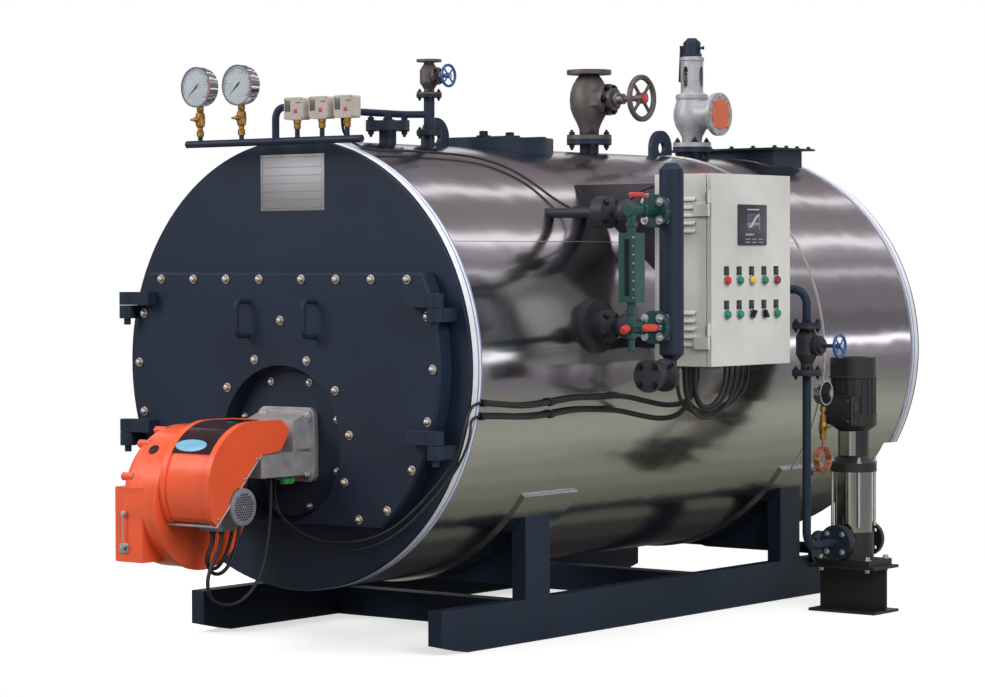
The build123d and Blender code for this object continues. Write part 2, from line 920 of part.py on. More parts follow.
def burner_hood():
    """The sheet hood over the head and motor, open underneath, its crown sunk between two side lips."""
    outline = hood_outline()
    inner = offset(outline, -hood_wall - hood_recess)
    slope = Vector(hood_knee_y - hood_chin_y, head_shelf_z - hood_chin_z).normalized()
    out = Vector(slope.Y, -slope.X) * (hood_recess + 2 * hood_wall)
    inner += Pos(out.X, out.Y) * inner
    body = extrude(side_sketch_plane(-hood_half_width) * outline, 2 * hood_half_width, dir=(1, 0, 0))
    half = hood_half_width - hood_wall
    body -= extrude(side_sketch_plane(-half) * inner, 2 * half, dir=(1, 0, 0))
    band = outline - offset(outline, -hood_recess)
    front = Pos(
        hood_band_rear - hood_radius * 2, hood_chin_z + hood_radius * 2,
    ) * Rectangle(hood_radius * 4, hood_radius * 4)
    half = hood_half_width - hood_lip
    body -= extrude(side_sketch_plane(-half) * (band & front), 2 * half, dir=(1, 0, 0))
    body -= burner_head()
    motor_room = rod((-hood_half_width, motor_y, motor_z), (hood_half_width + overrun, motor_y, motor_z),
                     motor_radius + hood_wall)
    return body - motor_room


def fan_outline():
    """The fan's scroll from the side: half a circle below, a wider quarter over it and a flat outlet."""
    belly = CenterArc((fan_y, fan_z), fan_radius, 180, 180)
    crown = CenterArc((fan_y + fan_growth, fan_z), fan_radius + fan_growth, 90, 90)
    outlet = Polyline(belly @ 1, (fan_y + fan_radius, fan_z + fan_radius + fan_growth), crown @ 0)
    return make_face([*belly.edges(), *crown.edges(), *outlet.edges()])


def fan_housing():
    """The scroll beside the hood, with screw bosses, a lip against the hood and the air intake box."""
    left, right = -hood_half_width - fan_width, -hood_half_width
    outline = fan_outline()
    scroll = extrude(side_sketch_plane(left) * outline, fan_width, dir=(1, 0, 0))
    scroll = fillet(scroll.faces().sort_by(Axis.X)[0].edges(), fan_round)
    lip = extrude(
        side_sketch_plane(right - fan_lip_width) * offset(outline, fan_lip_rise), fan_lip_width,
        dir=(1, 0, 0),
    )
    scroll += lip
    for angle in fan_boss_angles:
        reach = fan_radius + fan_growth - fan_boss_radius / 2
        y = fan_y + fan_growth + reach * cos(radians(angle))
        z = fan_z + reach * sin(radians(angle))
        scroll += rod((left, y, z), (left + fan_boss_length, y, z), fan_boss_radius)
    low_x = -hood_half_width - intake_reach
    box = block((low_x, intake_front, intake_bottom), (low_x + intake_width, intake_rear, intake_top))
    box = fillet(box.faces().sort_by(Axis.X)[0].edges(), intake_round)
    return scroll + box


def fan_motor():
    """The fan's motor beside the housing, with a round end cover and a terminal box beneath."""
    body = rod((-hood_half_width, motor_y, motor_z), (motor_end, motor_y, motor_z), motor_radius)
    cover_start = motor_end - motor_cover_depth
    groove = rod(
        (cover_start - hood_wall, motor_y, motor_z), (cover_start, motor_y, motor_z), motor_radius + overrun,
    )
    groove -= rod(
        (cover_start - overrun, motor_y, motor_z), (motor_end, motor_y, motor_z),
        motor_radius - hood_wall / 2,
    )
    half = motor_box_width / 2
    box = block(
        (-half, motor_y - motor_box_length / 2, motor_z - motor_box_drop),
        (half, motor_y + motor_box_length / 2, motor_z),
    )
    return body - groove + box


def manifold():
    """The instrument pipe over the front, its riser and the line back to the vent nozzle."""
    main = rod(
        (manifold_left, manifold_y, manifold_z), (manifold_right, manifold_y, manifold_z), manifold_radius,
    )
    line = [
        (0, manifold_y, manifold_z),
        (0, manifold_y, riser_z),
        (0, riser_turn_y, riser_z),
        (vent_x, vent_y, riser_z),
    ]
    body = main + pipe(line, manifold_radius, riser_bend) - rod(
        (vent_x, vent_y, vent_seat_z), (vent_x, vent_y, vent_valve_z), vent_flange_radius * valve_neck_share
    )
    for x in (gauge_left_x, gauge_right_x):
        cock_top = gauge_cock_z + gauge_cock_height
        body += rod((x, manifold_y, manifold_z), (x, manifold_y, gauge_z - gauge_radius), gauge_stem_radius)
        body += rod((x, manifold_y, gauge_cock_z), (x, manifold_y, cock_top), gauge_cock_radius)
    for place in range(switch_count):
        x = switch_first_x + place * switch_pitch
        body += rod((x, manifold_y, manifold_z), (x, manifold_y, switch_bottom), gauge_stem_radius)
    return body


def dial_gauge(centre, facing, radius, depth):
    """A round dial gauge: a dished case with a raised bezel round its face."""
    profile = [
        (0, 0),
        (radius - gauge_bezel, 0),
        (radius - gauge_bezel, depth / 2),
        (radius, depth / 2),
        (radius, depth),
        (radius - gauge_bezel, depth),
        (radius - gauge_bezel, depth - gauge_bezel / 2),
        (0, depth - gauge_bezel / 2),
    ]
    return turned(profile, Plane(origin=Vector(centre) - Vector(facing) * (depth / 2), z_dir=facing))


def pressure_gauge(x):
    """A gauge over the manifold, cut flat where its stem meets it."""
    case = dial_gauge((x, manifold_y, gauge_z), (0, -1, 0), gauge_radius, gauge_depth)
    return case - rod(
        (x, manifold_y, manifold_z), (x, manifold_y, gauge_z - gauge_radius), gauge_stem_radius,
    )


def pressure_switch(x):
    """A switch box on its stub."""
    box = block(
        (x - switch_width / 2, manifold_y - switch_depth / 2, switch_bottom),
        (x + switch_width / 2, manifold_y + switch_depth / 2, switch_bottom + switch_height),
    )
    return fillet(box.edges().filter_by(Axis.Y), switch_round)


def spare_nozzle():
    """A short nozzle closed by a blind flange with a plug in it."""
    joint = spare_top - spare_flange_thickness
    body = rod((spare_x, spare_y, axis_height), (spare_x, spare_y, spare_top), spare_neck_radius)
    body += rod(
        (spare_x, spare_y, joint - spare_flange_thickness), (spare_x, spare_y, spare_top),
        spare_flange_radius,
    )
    body += rod((spare_x, spare_y, spare_top), (spare_x, spare_y, spare_top + plug_height), plug_radius)
    return body - shell_space


def lifting_lug(y):
    """A plate lug along the drum, round over its hole."""
    crown = lug_width / 2
    plate = Pos(y, lug_top - crown) * Circle(crown)
    plate += Pos(y, (axis_height + lug_top - crown) / 2) * Rectangle(
        lug_width, lug_top - crown - axis_height,
    )
    plate -= Pos(y, lug_top - crown) * Circle(lug_hole_radius)
    return extrude(side_sketch_plane(-lug_thickness / 2) * plate, lug_thickness) - shell_space


def manhole_collar():
    """The ring round the manhole."""
    low, high = (0, manhole_y, axis_height), (0, manhole_y, manhole_top)
    return rod(low, high, manhole_radius) - rod(low, high, manhole_radius - manhole_wall) - shell_space


def manhole_cover():
    """The cover inside the collar, held by two yokes across it."""
    radius = manhole_radius - manhole_wall - manhole_cover_gap
    cover = rod((0, manhole_y, axis_height), (0, manhole_y, manhole_cover_top), radius)
    for side in (-1, 1):
        y = manhole_y + side * yoke_spacing / 2
        reach = sqrt(radius**2 - (yoke_spacing / 2 + yoke_width / 2) ** 2)
        cover += block(
            (-reach, y - yoke_width / 2, axis_height), (
                reach, y + yoke_width / 2, manhole_cover_top + yoke_height,
            )
        )
    return cover - shell_space


def globe_valve(x, y, low_z, high_z, stem_z, flange_radius, reach):
    """A flanged globe valve in an upright line, its bonnet and stem pointing right."""
    thick = flange_radius * flange_thickness_share
    neck = flange_radius * valve_neck_share
    belly = flange_radius * valve_belly_share
    bonnet = flange_radius * bonnet_share
    bonnet_flange = flange_radius * bonnet_flange_share
    swell = (high_z - low_z) / 2 - 2 * thick
    profile = [
        (0, low_z),
        (flange_radius, low_z),
        (flange_radius, low_z + thick),
        (neck, low_z + thick),
        (neck, stem_z - swell),
        (belly, stem_z - swell / 2),
        (belly, stem_z + swell / 2),
        (neck, stem_z + swell),
        (neck, high_z - thick),
        (flange_radius, high_z - thick),
        (flange_radius, high_z),
        (0, high_z),
    ]
    body = turned(profile, Pos(x, y, 0))
    body += rod((x, y, stem_z), (x + reach / 2, y, stem_z), bonnet)
    bonnet_x = x + max(belly, reach / 3)
    body += rod((bonnet_x, y, stem_z), (bonnet_x + thick, y, stem_z), bonnet_flange)
    body += rod((x, y, stem_z), (x + reach + thick, y, stem_z), flange_radius * stem_share)
    return body


def handwheel(centre, wheel_radius, flange_radius):
    """A spoked handwheel turning about the valve's stem."""
    thick = flange_radius * flange_thickness_share
    rim = wheel_radius * wheel_rim_share
    hub = wheel_radius * wheel_hub_share
    rim_centre = wheel_radius - rim
    place = Plane(origin=centre, z_dir=(1, 0, 0))
    wheel = ring(rim_centre, rim, Pos(0, 0, 0)) + Cylinder(hub, thick * 2)
    for turn in range(wheel_spokes):
        angle = radians((turn + 1 / 2) * 360 / wheel_spokes)
        wheel += rod((0, 0, 0), (rim_centre * cos(angle), rim_centre * sin(angle), 0), rim * 2 / 3)
    wheel -= Cylinder(flange_radius * stem_share + running_gap, thick * 2 + overrun)
    return place * wheel


def upright_nozzle(x, y, seat_z, flange_radius):
    """A nozzle on the jacket with the flange that a fitting bolts to."""
    thick = flange_radius * flange_thickness_share
    stub = rod((x, y, axis_height), (x, y, seat_z), flange_radius * valve_neck_share)
    return stub + rod((x, y, seat_z - thick), (x, y, seat_z), flange_radius) - shell_space


def steam_valve():
    """The main steam valve on its nozzle, with bolt holes in its outlet flange."""
    body = globe_valve(
        0, steam_y, steam_seat_z, steam_top_z, steam_stem_z, steam_flange_radius, steam_reach,
    )
    body += upright_nozzle(0, steam_y, steam_seat_z, steam_flange_radius)
    thick = steam_flange_radius * flange_thickness_share
    return body - bolt_circle(
        (0, steam_y, steam_top_z), Vector(0, 0, 1), steam_bolt_circle_radius, 2 * thick,
    )


def vent_valve():
    """The vent valve on a flanged spool over its nozzle."""
    body = globe_valve(
        vent_x, vent_y, vent_valve_z, vent_top_z, vent_stem_z, vent_flange_radius, vent_reach,
    )
    thick = vent_flange_radius * flange_thickness_share
    neck = vent_flange_radius * valve_neck_share
    body += rod((vent_x, vent_y, vent_seat_z), (vent_x, vent_y, vent_valve_z), neck)
    body += rod((vent_x, vent_y, vent_seat_z), (vent_x, vent_y, vent_seat_z + thick), vent_flange_radius)
    body += rod((vent_x, vent_y, vent_valve_z - thick), (vent_x, vent_y, vent_valve_z), vent_flange_radius)
    return body + upright_nozzle(vent_x, vent_y, vent_seat_z, vent_flange_radius)


def safety_valve():
    """The spring safety valve: flanged inlet, side outlet and an open spring bonnet."""
    thick = safety_flange_thickness
    profile = [
        (0, safety_seat_z),
        (safety_flange_radius, safety_seat_z),
        (safety_flange_radius, safety_seat_z + thick),
        (safety_neck_radius, safety_seat_z + thick),
        (safety_neck_radius, safety_outlet_z - safety_body_radius),
        (safety_body_radius, safety_outlet_z - safety_bore_radius),
        (safety_body_radius, safety_body_top),
        (safety_bonnet_radius, safety_body_top + thick),
        (safety_bonnet_radius, safety_bonnet_top),
        (0, safety_bonnet_top),
    ]
    body = turned(profile, Pos(0, safety_y, 0))
    window_bottom = safety_body_top + safety_window_margin
    window_top = safety_bonnet_top - safety_window_margin
    for across in (Vector(1, 0, 0), Vector(0, 1, 0)):
        half = across * safety_flange_radius + Vector(1, 1, 0) * safety_window_width / 2
        half = Vector(max(half.X, safety_window_width / 2), max(half.Y, safety_window_width / 2), 0)
        body -= block(
            (-half.X, safety_y - half.Y, window_bottom), (half.X, safety_y + half.Y, window_top)
        )
    body += rod((0, safety_y, safety_body_top), (0, safety_y, safety_bonnet_top), safety_spring_radius)
    outlet_end = (safety_outlet_x, safety_y, safety_outlet_z)
    body += rod((0, safety_y, safety_outlet_z), outlet_end, safety_bore_radius)
    body += rod((safety_outlet_x - thick, safety_y, safety_outlet_z), outlet_end, safety_outlet_radius)
    stub = rod((0, safety_y, axis_height), (0, safety_y, safety_seat_z), safety_neck_radius)
    stub += rod((0, safety_y, safety_seat_z - thick), (0, safety_y, safety_seat_z), safety_flange_radius)
    return body + (stub - shell_space)


def safety_cap():
    """The cap over the safety valve's adjusting screw."""
    return turned(
        [
            (0, safety_bonnet_top),
            (safety_cap_radius, safety_bonnet_top),
            (safety_cap_radius, safety_top - safety_cap_radius / 2),
            (safety_cap_radius / 2, safety_top),
            (0, safety_top),
        ],
        Pos(0, safety_y, 0),
    )


def flue_box():
    """The smoke outlet: an open sheet box with a flange frame on top."""
    low_z = axis_height
    body = block((-flue_half_width + flue_flange, flue_front + flue_flange, low_z),
                 (flue_half_width - flue_flange, flue_rear - flue_flange, flue_top))
    body += block((-flue_half_width, flue_front, flue_top - flue_flange_thickness),
                  (flue_half_width, flue_rear, flue_top))
    inset = flue_flange + flue_wall
    body -= block((-flue_half_width + inset, flue_front + inset, low_z - overrun),
                  (flue_half_width - inset, flue_rear - inset, flue_top + overrun))
    return body - shell_space - drum_rod(shell_radius + rim_rise, 0, shell_length)


def level_column():
    """The upright level column with domed ends and two side nozzles for the gauge glass."""
    cap = column_radius / 2
    profile = [
        (0, column_bottom),
        (column_radius - cap, column_bottom),
        (column_radius, column_bottom + cap),
        (column_radius, column_top - cap),
        (column_radius - cap, column_top),
        (0, column_top),
    ]
    body = turned(profile, Pos(column_x, column_y, 0))
    for z in (upper_branch_z, lower_branch_z):
        body += rod((column_x, column_y, z), (column_x, cock_flange_y, z), branch_radius)
        joint = cock_flange_y + branch_flange_thickness
        body += rod((column_x, joint, z), (column_x, cock_flange_y, z), branch_flange_radius)
    return body


def column_branch(z, has_rosette):
    """A line from the drum to the column: pipe, flange pair and a valve body."""
    start = (0, column_y, z)
    body = rod(start, (column_x, column_y, z), branch_radius)
    joint = branch_valve_start
    body += rod(
        (joint - 2 * branch_flange_thickness, column_y, z), (joint, column_y, z), branch_flange_radius,
    )
    half = branch_valve_length / 2
    body += turned(
        [
            (0, 0),
            (branch_flange_radius, 0),
            (branch_flange_radius, branch_flange_thickness),
            (branch_radius, 2 * branch_flange_thickness),
            (branch_valve_radius, half),
            (branch_valve_radius, half + branch_flange_thickness),
            (branch_radius, branch_valve_length),
            (0, branch_valve_length),
        ],
        Plane(origin=(joint, column_y, z), z_dir=(1, 0, 0)),
    )
    if has_rosette:
        body += rod(start, (rosette_reach, column_y, z), rosette_radius)
    return body - shell_space - rod(
        (column_x, column_y, column_bottom), (column_x, column_y, column_top), column_radius,
    )


def gauge_cock(z, sense):
    """A cock bolted to the column's flange, turning the line down or up to the glass."""
    flange_end = cock_flange_y - branch_flange_thickness
    body = rod((column_x, cock_flange_y, z), (column_x, flange_end, z), branch_flange_radius)
    body += rod((column_x, flange_end, z), (column_x, glass_y - cock_body_radius, z), cock_body_radius)
    end_z = glass_top if sense < 0 else glass_bottom
    body += rod((column_x, glass_y, z), (column_x, glass_y, end_z), cock_drop_radius)
    if sense < 0:
        top = z + cock_body_radius + lever_post_height
        pin_end = top + 2 * lever_thickness
        body += rod((column_x, lever_pivot_y, z), (column_x, lever_pivot_y, top), lever_post_radius)
        return body + rod(
            (column_x, lever_pivot_y, z), (column_x, lever_pivot_y, pin_end), lever_pin_radius,
        )
    side = column_x + cock_body_radius + lever_post_height
    pin_end = side + 2 * lever_thickness
    body += rod((column_x, lever_pivot_y, z), (side, lever_pivot_y, z), lever_post_radius)
    return body + rod((column_x, lever_pivot_y, z), (pin_end, lever_pivot_y, z), lever_pin_radius)


def cock_lever():
    """A flat lever with a round boss, lying along -Y about an upright pin at its own origin."""
    blade = Pos(0, -lever_length / 2) * SlotOverall(lever_length, lever_width * 2 / 3, rotation=90)
    flat = extrude(blade + Circle(lever_width / 2), lever_thickness)
    return flat - Cylinder(lever_pin_radius + running_gap, 4 * lever_thickness)


def upper_lever():
    top = upper_branch_z + cock_body_radius + lever_post_height
    return Pos(column_x, lever_pivot_y, top) * cock_lever()


def lower_lever():
    side = column_x + cock_body_radius + lever_post_height
    upright = Plane(origin=(side, lever_pivot_y, lower_branch_z), x_dir=(0, 0, -1), z_dir=(1, 0, 0))
    return upright * cock_lever()


def gauge_glass():
    """The flat gauge body with a slot for the glass in its front."""
    front = glass_y - glass_half_depth
    body = block(
        (column_x - glass_half_width, front, glass_bottom),
        (column_x + glass_half_width, glass_y + glass_half_depth, glass_top),
    )
    return body - block(
        (column_x - glass_slot_width / 2, front - overrun, glass_bottom + glass_slot_margin),
        (column_x + glass_slot_width / 2, front + glass_slot_depth, glass_top - glass_slot_margin),
    )


def drain_valve():
    """The column's drain: an elbow under the column and a flanged valve towards the front."""
    points = [
        (column_x, column_y, column_bottom), (column_x, column_y, drain_z),
        (column_x, drain_flange_y, drain_z),
    ]
    body = pipe(points, branch_radius, drain_bend)
    half = drain_valve_length / 2
    return body + turned(
        [
            (0, 0),
            (branch_flange_radius, 0),
            (branch_flange_radius, branch_flange_thickness),
            (branch_radius, 2 * branch_flange_thickness),
            (branch_valve_radius, half),
            (branch_radius, drain_valve_length - 2 * branch_flange_thickness),
            (branch_flange_radius, drain_valve_length - branch_flange_thickness),
            (branch_flange_radius, drain_valve_length),
            (0, drain_valve_length),
        ],
        Plane(origin=(column_x, drain_flange_y, drain_z), z_dir=(0, -1, 0)),
    )


cabinet_mouth = cabinet_front - cabinet_door_thickness - cabinet_door_gap
cabinet_hinge_x = cabinet_front - cabinet_door_thickness / 2
cabinet_hinge_y = cabinet_left - cabinet_hinge_radius


def cabinet_hinge_spots():
    """Heights where the cabinet door's two hinges meet."""
    return cabinet_bottom + cabinet_hinge_inset, cabinet_top - cabinet_hinge_inset


def cabinet():
    """The sheet cabinet, open at its door, with louvres in its front side and the hinges' lower halves."""
    body = block((cabinet_back, cabinet_left, cabinet_bottom), (cabinet_mouth, cabinet_right, cabinet_top))
    body -= block(
        (cabinet_back + cabinet_wall, cabinet_left + cabinet_wall, cabinet_bottom + cabinet_wall),
        (cabinet_front + overrun, cabinet_right - cabinet_wall, cabinet_top - cabinet_wall),
    )
    middle = (cabinet_back + cabinet_mouth) / 2
    for start in (louvre_upper_z, louvre_lower_z):
        for place in range(louvre_count):
            z = start - place * louvre_pitch
            body -= block(
                (middle - louvre_length / 2, cabinet_left - overrun, z),
                (middle + louvre_length / 2, cabinet_left + cabinet_wall, z + louvre_height),
            )
    for z in cabinet_hinge_spots():
        low = z - cabinet_hinge_length
        centre = (cabinet_hinge_x, cabinet_hinge_y)
        body += rod((*centre, low), (*centre, z - knuckle_gap / 2), cabinet_hinge_radius)
        body += rod((*centre, low), (*centre, z + cabinet_hinge_length), cabinet_hinge_pin)
        body += block(
            (cabinet_mouth - cabinet_hinge_length, cabinet_hinge_y - cabinet_hinge_radius, low),
            (cabinet_hinge_x, cabinet_left, z - knuckle_gap / 2),
        )
    return body


def cabinet_door():
    """The cabinet's door panel with the hinges' upper halves."""
    back = cabinet_front - cabinet_door_thickness
    panel = block((back, cabinet_left, cabinet_bottom), (cabinet_front, cabinet_right, cabinet_top))
    centre = (cabinet_hinge_x, cabinet_hinge_y)
    for z in cabinet_hinge_spots():
        low = z - cabinet_hinge_length - knuckle_gap
        panel -= block((back - overrun, cabinet_left - overrun, low),
                       (cabinet_hinge_x + cabinet_hinge_radius + knuckle_gap,
                        cabinet_left + knuckle_gap, z + knuckle_gap / 2))
        low, high = z + knuckle_gap / 2, z + cabinet_hinge_length
        panel += rod((*centre, low), (*centre, high), cabinet_hinge_radius)
        panel += block((cabinet_hinge_x, cabinet_hinge_y, low),
                       (cabinet_hinge_x + cabinet_hinge_radius, cabinet_left, high))
        panel -= rod((*centre, low - overrun), (*centre, high + overrun), cabinet_hinge_pin + running_gap)
    return panel


def panel_controls():
    """The display and two rows of push buttons on the cabinet door."""
    middle = (cabinet_left + cabinet_right) / 2
    pieces = [
        block(
            (cabinet_front, middle - display_width / 2, display_centre_z - display_height / 2),
            (
                cabinet_front + display_rise, middle + display_width / 2,
                display_centre_z + display_height / 2,
            ),
        )
    ]
    for z in (button_upper_z, button_lower_z):
        for place in range(button_count):
            y = middle + (place - (button_count - 1) / 2) * button_pitch
            pieces.append(rod((cabinet_front, y, z), (cabinet_front + button_rise, y, z), button_radius))
    return pieces


def cabinet_brackets():
    """Four square arms that carry the cabinet off the jacket."""
    arms = []
    for z in (bracket_lower_z, bracket_upper_z):
        for y in (cabinet_left + bracket_inset, cabinet_right - bracket_inset):
            half = bracket_width / 2
            arm = block((0, y - half, z - half), (cabinet_back, y + half, z + half))
            arms.append(arm - shell_space)
    return arms


pump_port_front = pump_y - port_reach


def feed_pipe():
    """The feed line from the pump's outlet up to the valve, and on into the drum."""
    thick = feed_flange_radius * flange_thickness_share
    start = pump_port_front - port_flange_thickness
    lower = [
        (feed_x, start, pump_port_z), (feed_x, feed_y, pump_port_z), (feed_x, feed_y, feed_valve_z - thick),
    ]
    upper = [
        (feed_x, feed_y, feed_valve_top + thick),
        (feed_x, feed_y, feed_inlet_z),
        (shell_side_at(feed_inlet_z) / 2, feed_y, feed_inlet_z),
    ]
    body = pipe(lower, feed_pipe_radius, feed_bend)
    body += rod((feed_x, start, pump_port_z), (feed_x, pump_port_front, pump_port_z), port_flange_radius)
    body += rod((feed_x, feed_y, feed_valve_z - thick), (feed_x, feed_y, feed_valve_z), feed_flange_radius)
    boss_z = siphon_z - siphon_radius
    body += rod((feed_x, feed_y, boss_z), (feed_x, feed_y + siphon_boss_reach, boss_z), siphon_boss_radius)
    top = pipe(upper, feed_pipe_radius, feed_bend) - shell_space
    top += rod(
        (feed_x, feed_y, feed_valve_top), (feed_x, feed_y, feed_valve_top + thick), feed_flange_radius,
    )
    return body, top


def feed_gauge():
    """The feed pressure gauge facing right, on a cock over a coiled siphon."""
    case = dial_gauge((feed_x, siphon_y, feed_gauge_z), (1, 0, 0), feed_gauge_radius, feed_gauge_depth)
    stem_top = feed_gauge_z - feed_gauge_radius / 2
    case += rod((feed_x, siphon_y, feed_cock_top), (feed_x, siphon_y, stem_top), siphon_tube_radius)
    case += rod((feed_x, siphon_y, feed_cock_bottom), (feed_x, siphon_y, feed_cock_top), feed_cock_radius)
    top, bottom = siphon_z + siphon_radius, siphon_z - siphon_radius
    case += rod((feed_x, siphon_y, top), (feed_x, siphon_y, feed_cock_bottom), siphon_tube_radius)
    boss_end = feed_y + siphon_boss_reach
    case += rod((feed_x, boss_end, bottom), (feed_x, siphon_y, bottom), siphon_tube_radius)
    for turn in range(siphon_turns):
        x = feed_x + (turn - (siphon_turns - 1) / 2) * siphon_pitch
        case += ring(
            siphon_radius, siphon_tube_radius, Plane(origin=(x, siphon_y, siphon_z), z_dir=(1, 0, 0)),
        )
    return case


def pump_stand():
    """A length of I-section under the pump."""
    low_x, high_x = feed_x - stand_length / 2, feed_x + stand_length / 2
    low_y, high_y = pump_y - stand_width / 2, pump_y + stand_width / 2
    body = block((low_x, low_y, 0), (high_x, high_y, stand_flange))
    body += block((low_x, low_y, stand_height - stand_flange), (high_x, high_y, stand_height))
    return body + block((low_x, pump_y - stand_web / 2, 0), (high_x, pump_y + stand_web / 2, stand_height))


def pump_base():
    """The pump's cast base with its foot and two flanged ports in line."""
    foot_low = (feed_x - foot_length / 2, pump_y - foot_width / 2, stand_height)
    foot_high = (feed_x + foot_length / 2, pump_y + foot_width / 2, stand_height + foot_thickness)
    body = block(foot_low, foot_high)
    body += rod((feed_x, pump_y, stand_height), (feed_x, pump_y, pump_base_top), pump_base_radius)
    front, rear = pump_port_front, pump_y + port_reach
    body += rod((feed_x, front, pump_port_z), (feed_x, rear, pump_port_z), port_neck_radius)
    body += rod(
        (feed_x, front, pump_port_z), (feed_x, front + port_flange_thickness, pump_port_z),
        port_flange_radius,
    )
    body += rod(
        (feed_x, rear - port_flange_thickness, pump_port_z), (feed_x, rear, pump_port_z), port_flange_radius,
    )
    inlet = (feed_x, rear, pump_port_z)
    return body - bolt_circle(inlet, Vector(0, 1, 0), port_bolt_circle_radius, 2 * port_flange_thickness)


def pump_sleeve():
    """The pump's bright outer sleeve."""
    return rod((feed_x, pump_y, pump_base_top), (feed_x, pump_y, sleeve_top), sleeve_radius)


def pump_head():
    """The pump head and the lantern that carries the motor, open at two sides."""
    profile = [
        (0, sleeve_top),
        (head_flange_radius, sleeve_top),
        (head_flange_radius, pump_head_top),
        (lantern_radius, lantern_window_bottom),
        (lantern_radius, lantern_window_top),
        (head_flange_radius, lantern_top - pump_fin_width),
        (head_flange_radius, lantern_top),
        (0, lantern_top),
    ]
    body = turned(profile, Pos(feed_x, pump_y, 0))
    half = lantern_window_width / 2
    window = block(
        (feed_x - half, pump_y - head_flange_radius, lantern_window_bottom),
        (feed_x + half, pump_y + head_flange_radius, lantern_window_top),
    )
    shaft = rod((feed_x, pump_y, sleeve_top), (feed_x, pump_y, lantern_top), half / 2)
    return body - window + shaft


def pump_motor():
    """The pump's motor with cooling fins, a fan cover and a terminal box at the front."""
    body = rod((feed_x, pump_y, lantern_top), (feed_x, pump_y, fan_cover_top), pump_motor_radius)
    groove = rod(
        (feed_x, pump_y, lantern_top + overrun), (feed_x, pump_y, pump_motor_top),
        pump_motor_radius + overrun,
    )
    groove -= rod(
        (feed_x, pump_y, lantern_top), (feed_x, pump_y, fan_cover_top), pump_motor_radius - pump_fin_depth,
    )
    body -= groove
    for turn in range(pump_fin_count):
        fin = block(
            (0, -pump_fin_width / 2, lantern_top + overrun),
            (pump_motor_radius - pump_fin_depth / 2, pump_fin_width / 2, pump_motor_top),
        )
        body += Pos(feed_x, pump_y, 0) * (Rot(0, 0, turn * 360 / pump_fin_count) * fin)
    half = terminal_box_width / 2
    box = block(
        (feed_x - half, pump_y - terminal_box_reach, lantern_top), (feed_x + half, pump_y, terminal_box_top),
    )
    return body + box


def blow_down_pipe():
    """The blow-down line under the drum, out to a flange at the right."""
    points = [
        (0, blow_y, axis_height - shell_radius / 2), (0, blow_y, blow_z), (blow_end_x, blow_y, blow_z),
    ]
    body = pipe(points, blow_radius, blow_bend) - shell_space
    face = (blow_end_x, blow_y, blow_z)
    body += rod((blow_end_x - blow_flange_thickness, blow_y, blow_z), face, blow_flange_radius)
    return body - bolt_circle(face, Vector(1, 0, 0), blow_bolt_circle_radius, 2 * blow_flange_thickness)

def shell_point(y, angle, lift):
    """A point on the jacket's right side, at an angle from level and a height off the sheet."""
    reach = shell_radius + lift
    return (reach * cos(radians(angle)), y, axis_height + reach * sin(radians(angle)))


def jacket_conduit(clipped, free):
    """A conduit clipped along the jacket, then hanging free up to the cabinet's floor."""
    lift = conduit_radius + seat_gap
    held = [shell_point(y, angle, lift) for y, angle in clipped]
    body = cord(held + free, conduit_radius)
    for y, angle in clipped[::3]:
        x, _, z = shell_point(y, angle, lift)
        clip = rod((x, y, z), (x, y + clip_length, z), clip_radius)
        body += clip - drum_rod(shell_radius + rim_rise, 0, end_plate_thickness + rim_width) - shell_space
    return body


def burner_lead(route, clipped):
    """A lead from the burner's head round the rim to the open front end of its conduit."""
    lift = conduit_radius + seat_gap
    mouth, next_point = [Vector(*shell_point(y, angle, lift)) for y, angle in clipped[:2]]
    along = (next_point - mouth).normalized()
    return cord(route + [mouth - along * lead_tail, mouth - along * lead_gap], lead_radius)


def cabinet_loop(x, left_y, right_y, low_z):
    """A cable that leaves the cabinet's floor, hangs in a bow and goes back into it."""
    span = right_y - left_y
    fall = cabinet_bottom - low_z
    shares = ((0, 0), (0, 0.45), (0.08, 0.8), (0.3, 1), (0.58, 0.96), (0.86, 0.72), (1, 0.4), (1, 0))
    return cord(
        [(x, left_y + across * span, cabinet_bottom - down * fall) for across, down in shares], cable_radius,
    )



os.makedirs("parts", exist_ok=True)

save("left_rail", skid_rail(-1))
save("right_rail", skid_rail(1))
save("cross_members", cross_member(cross_member_y), cross_member(rail_front + rail_rear - cross_member_y))
save("front_saddle", saddle(front_saddle_y))
save("rear_saddle", saddle(rear_saddle_y))
save("drum", drum())
save("smokebox", smokebox())
save("front_plate", front_plate())
save("jacket", jacket())
save("rear_plate", rear_plate())
hinge_levels = (upper_hinge_z, lower_hinge_z)
save("hinge_lugs", *[fixed_knuckle(side, z) for side in (-1, 1) for z in hinge_levels])

save("front_door", front_door())
save("door_hinges", *[door_knuckle(side, z) for side in (-1, 1) for z in hinge_levels])
save("door_handles", door_handle(-handle_x), door_handle(handle_x))
save("burner_plate", burner_plate())
save("burner_head", burner_head())
save("blast_tube", blast_tube())
save("fan_housing", fan_housing())
save("fan_motor", fan_motor())
save("burner_hood", burner_hood())

save("manifold", manifold())
save("pressure_gauges", pressure_gauge(gauge_left_x), pressure_gauge(gauge_right_x))
save(
    "pressure_switches",
    *[pressure_switch(switch_first_x + place * switch_pitch) for place in range(switch_count)],
)

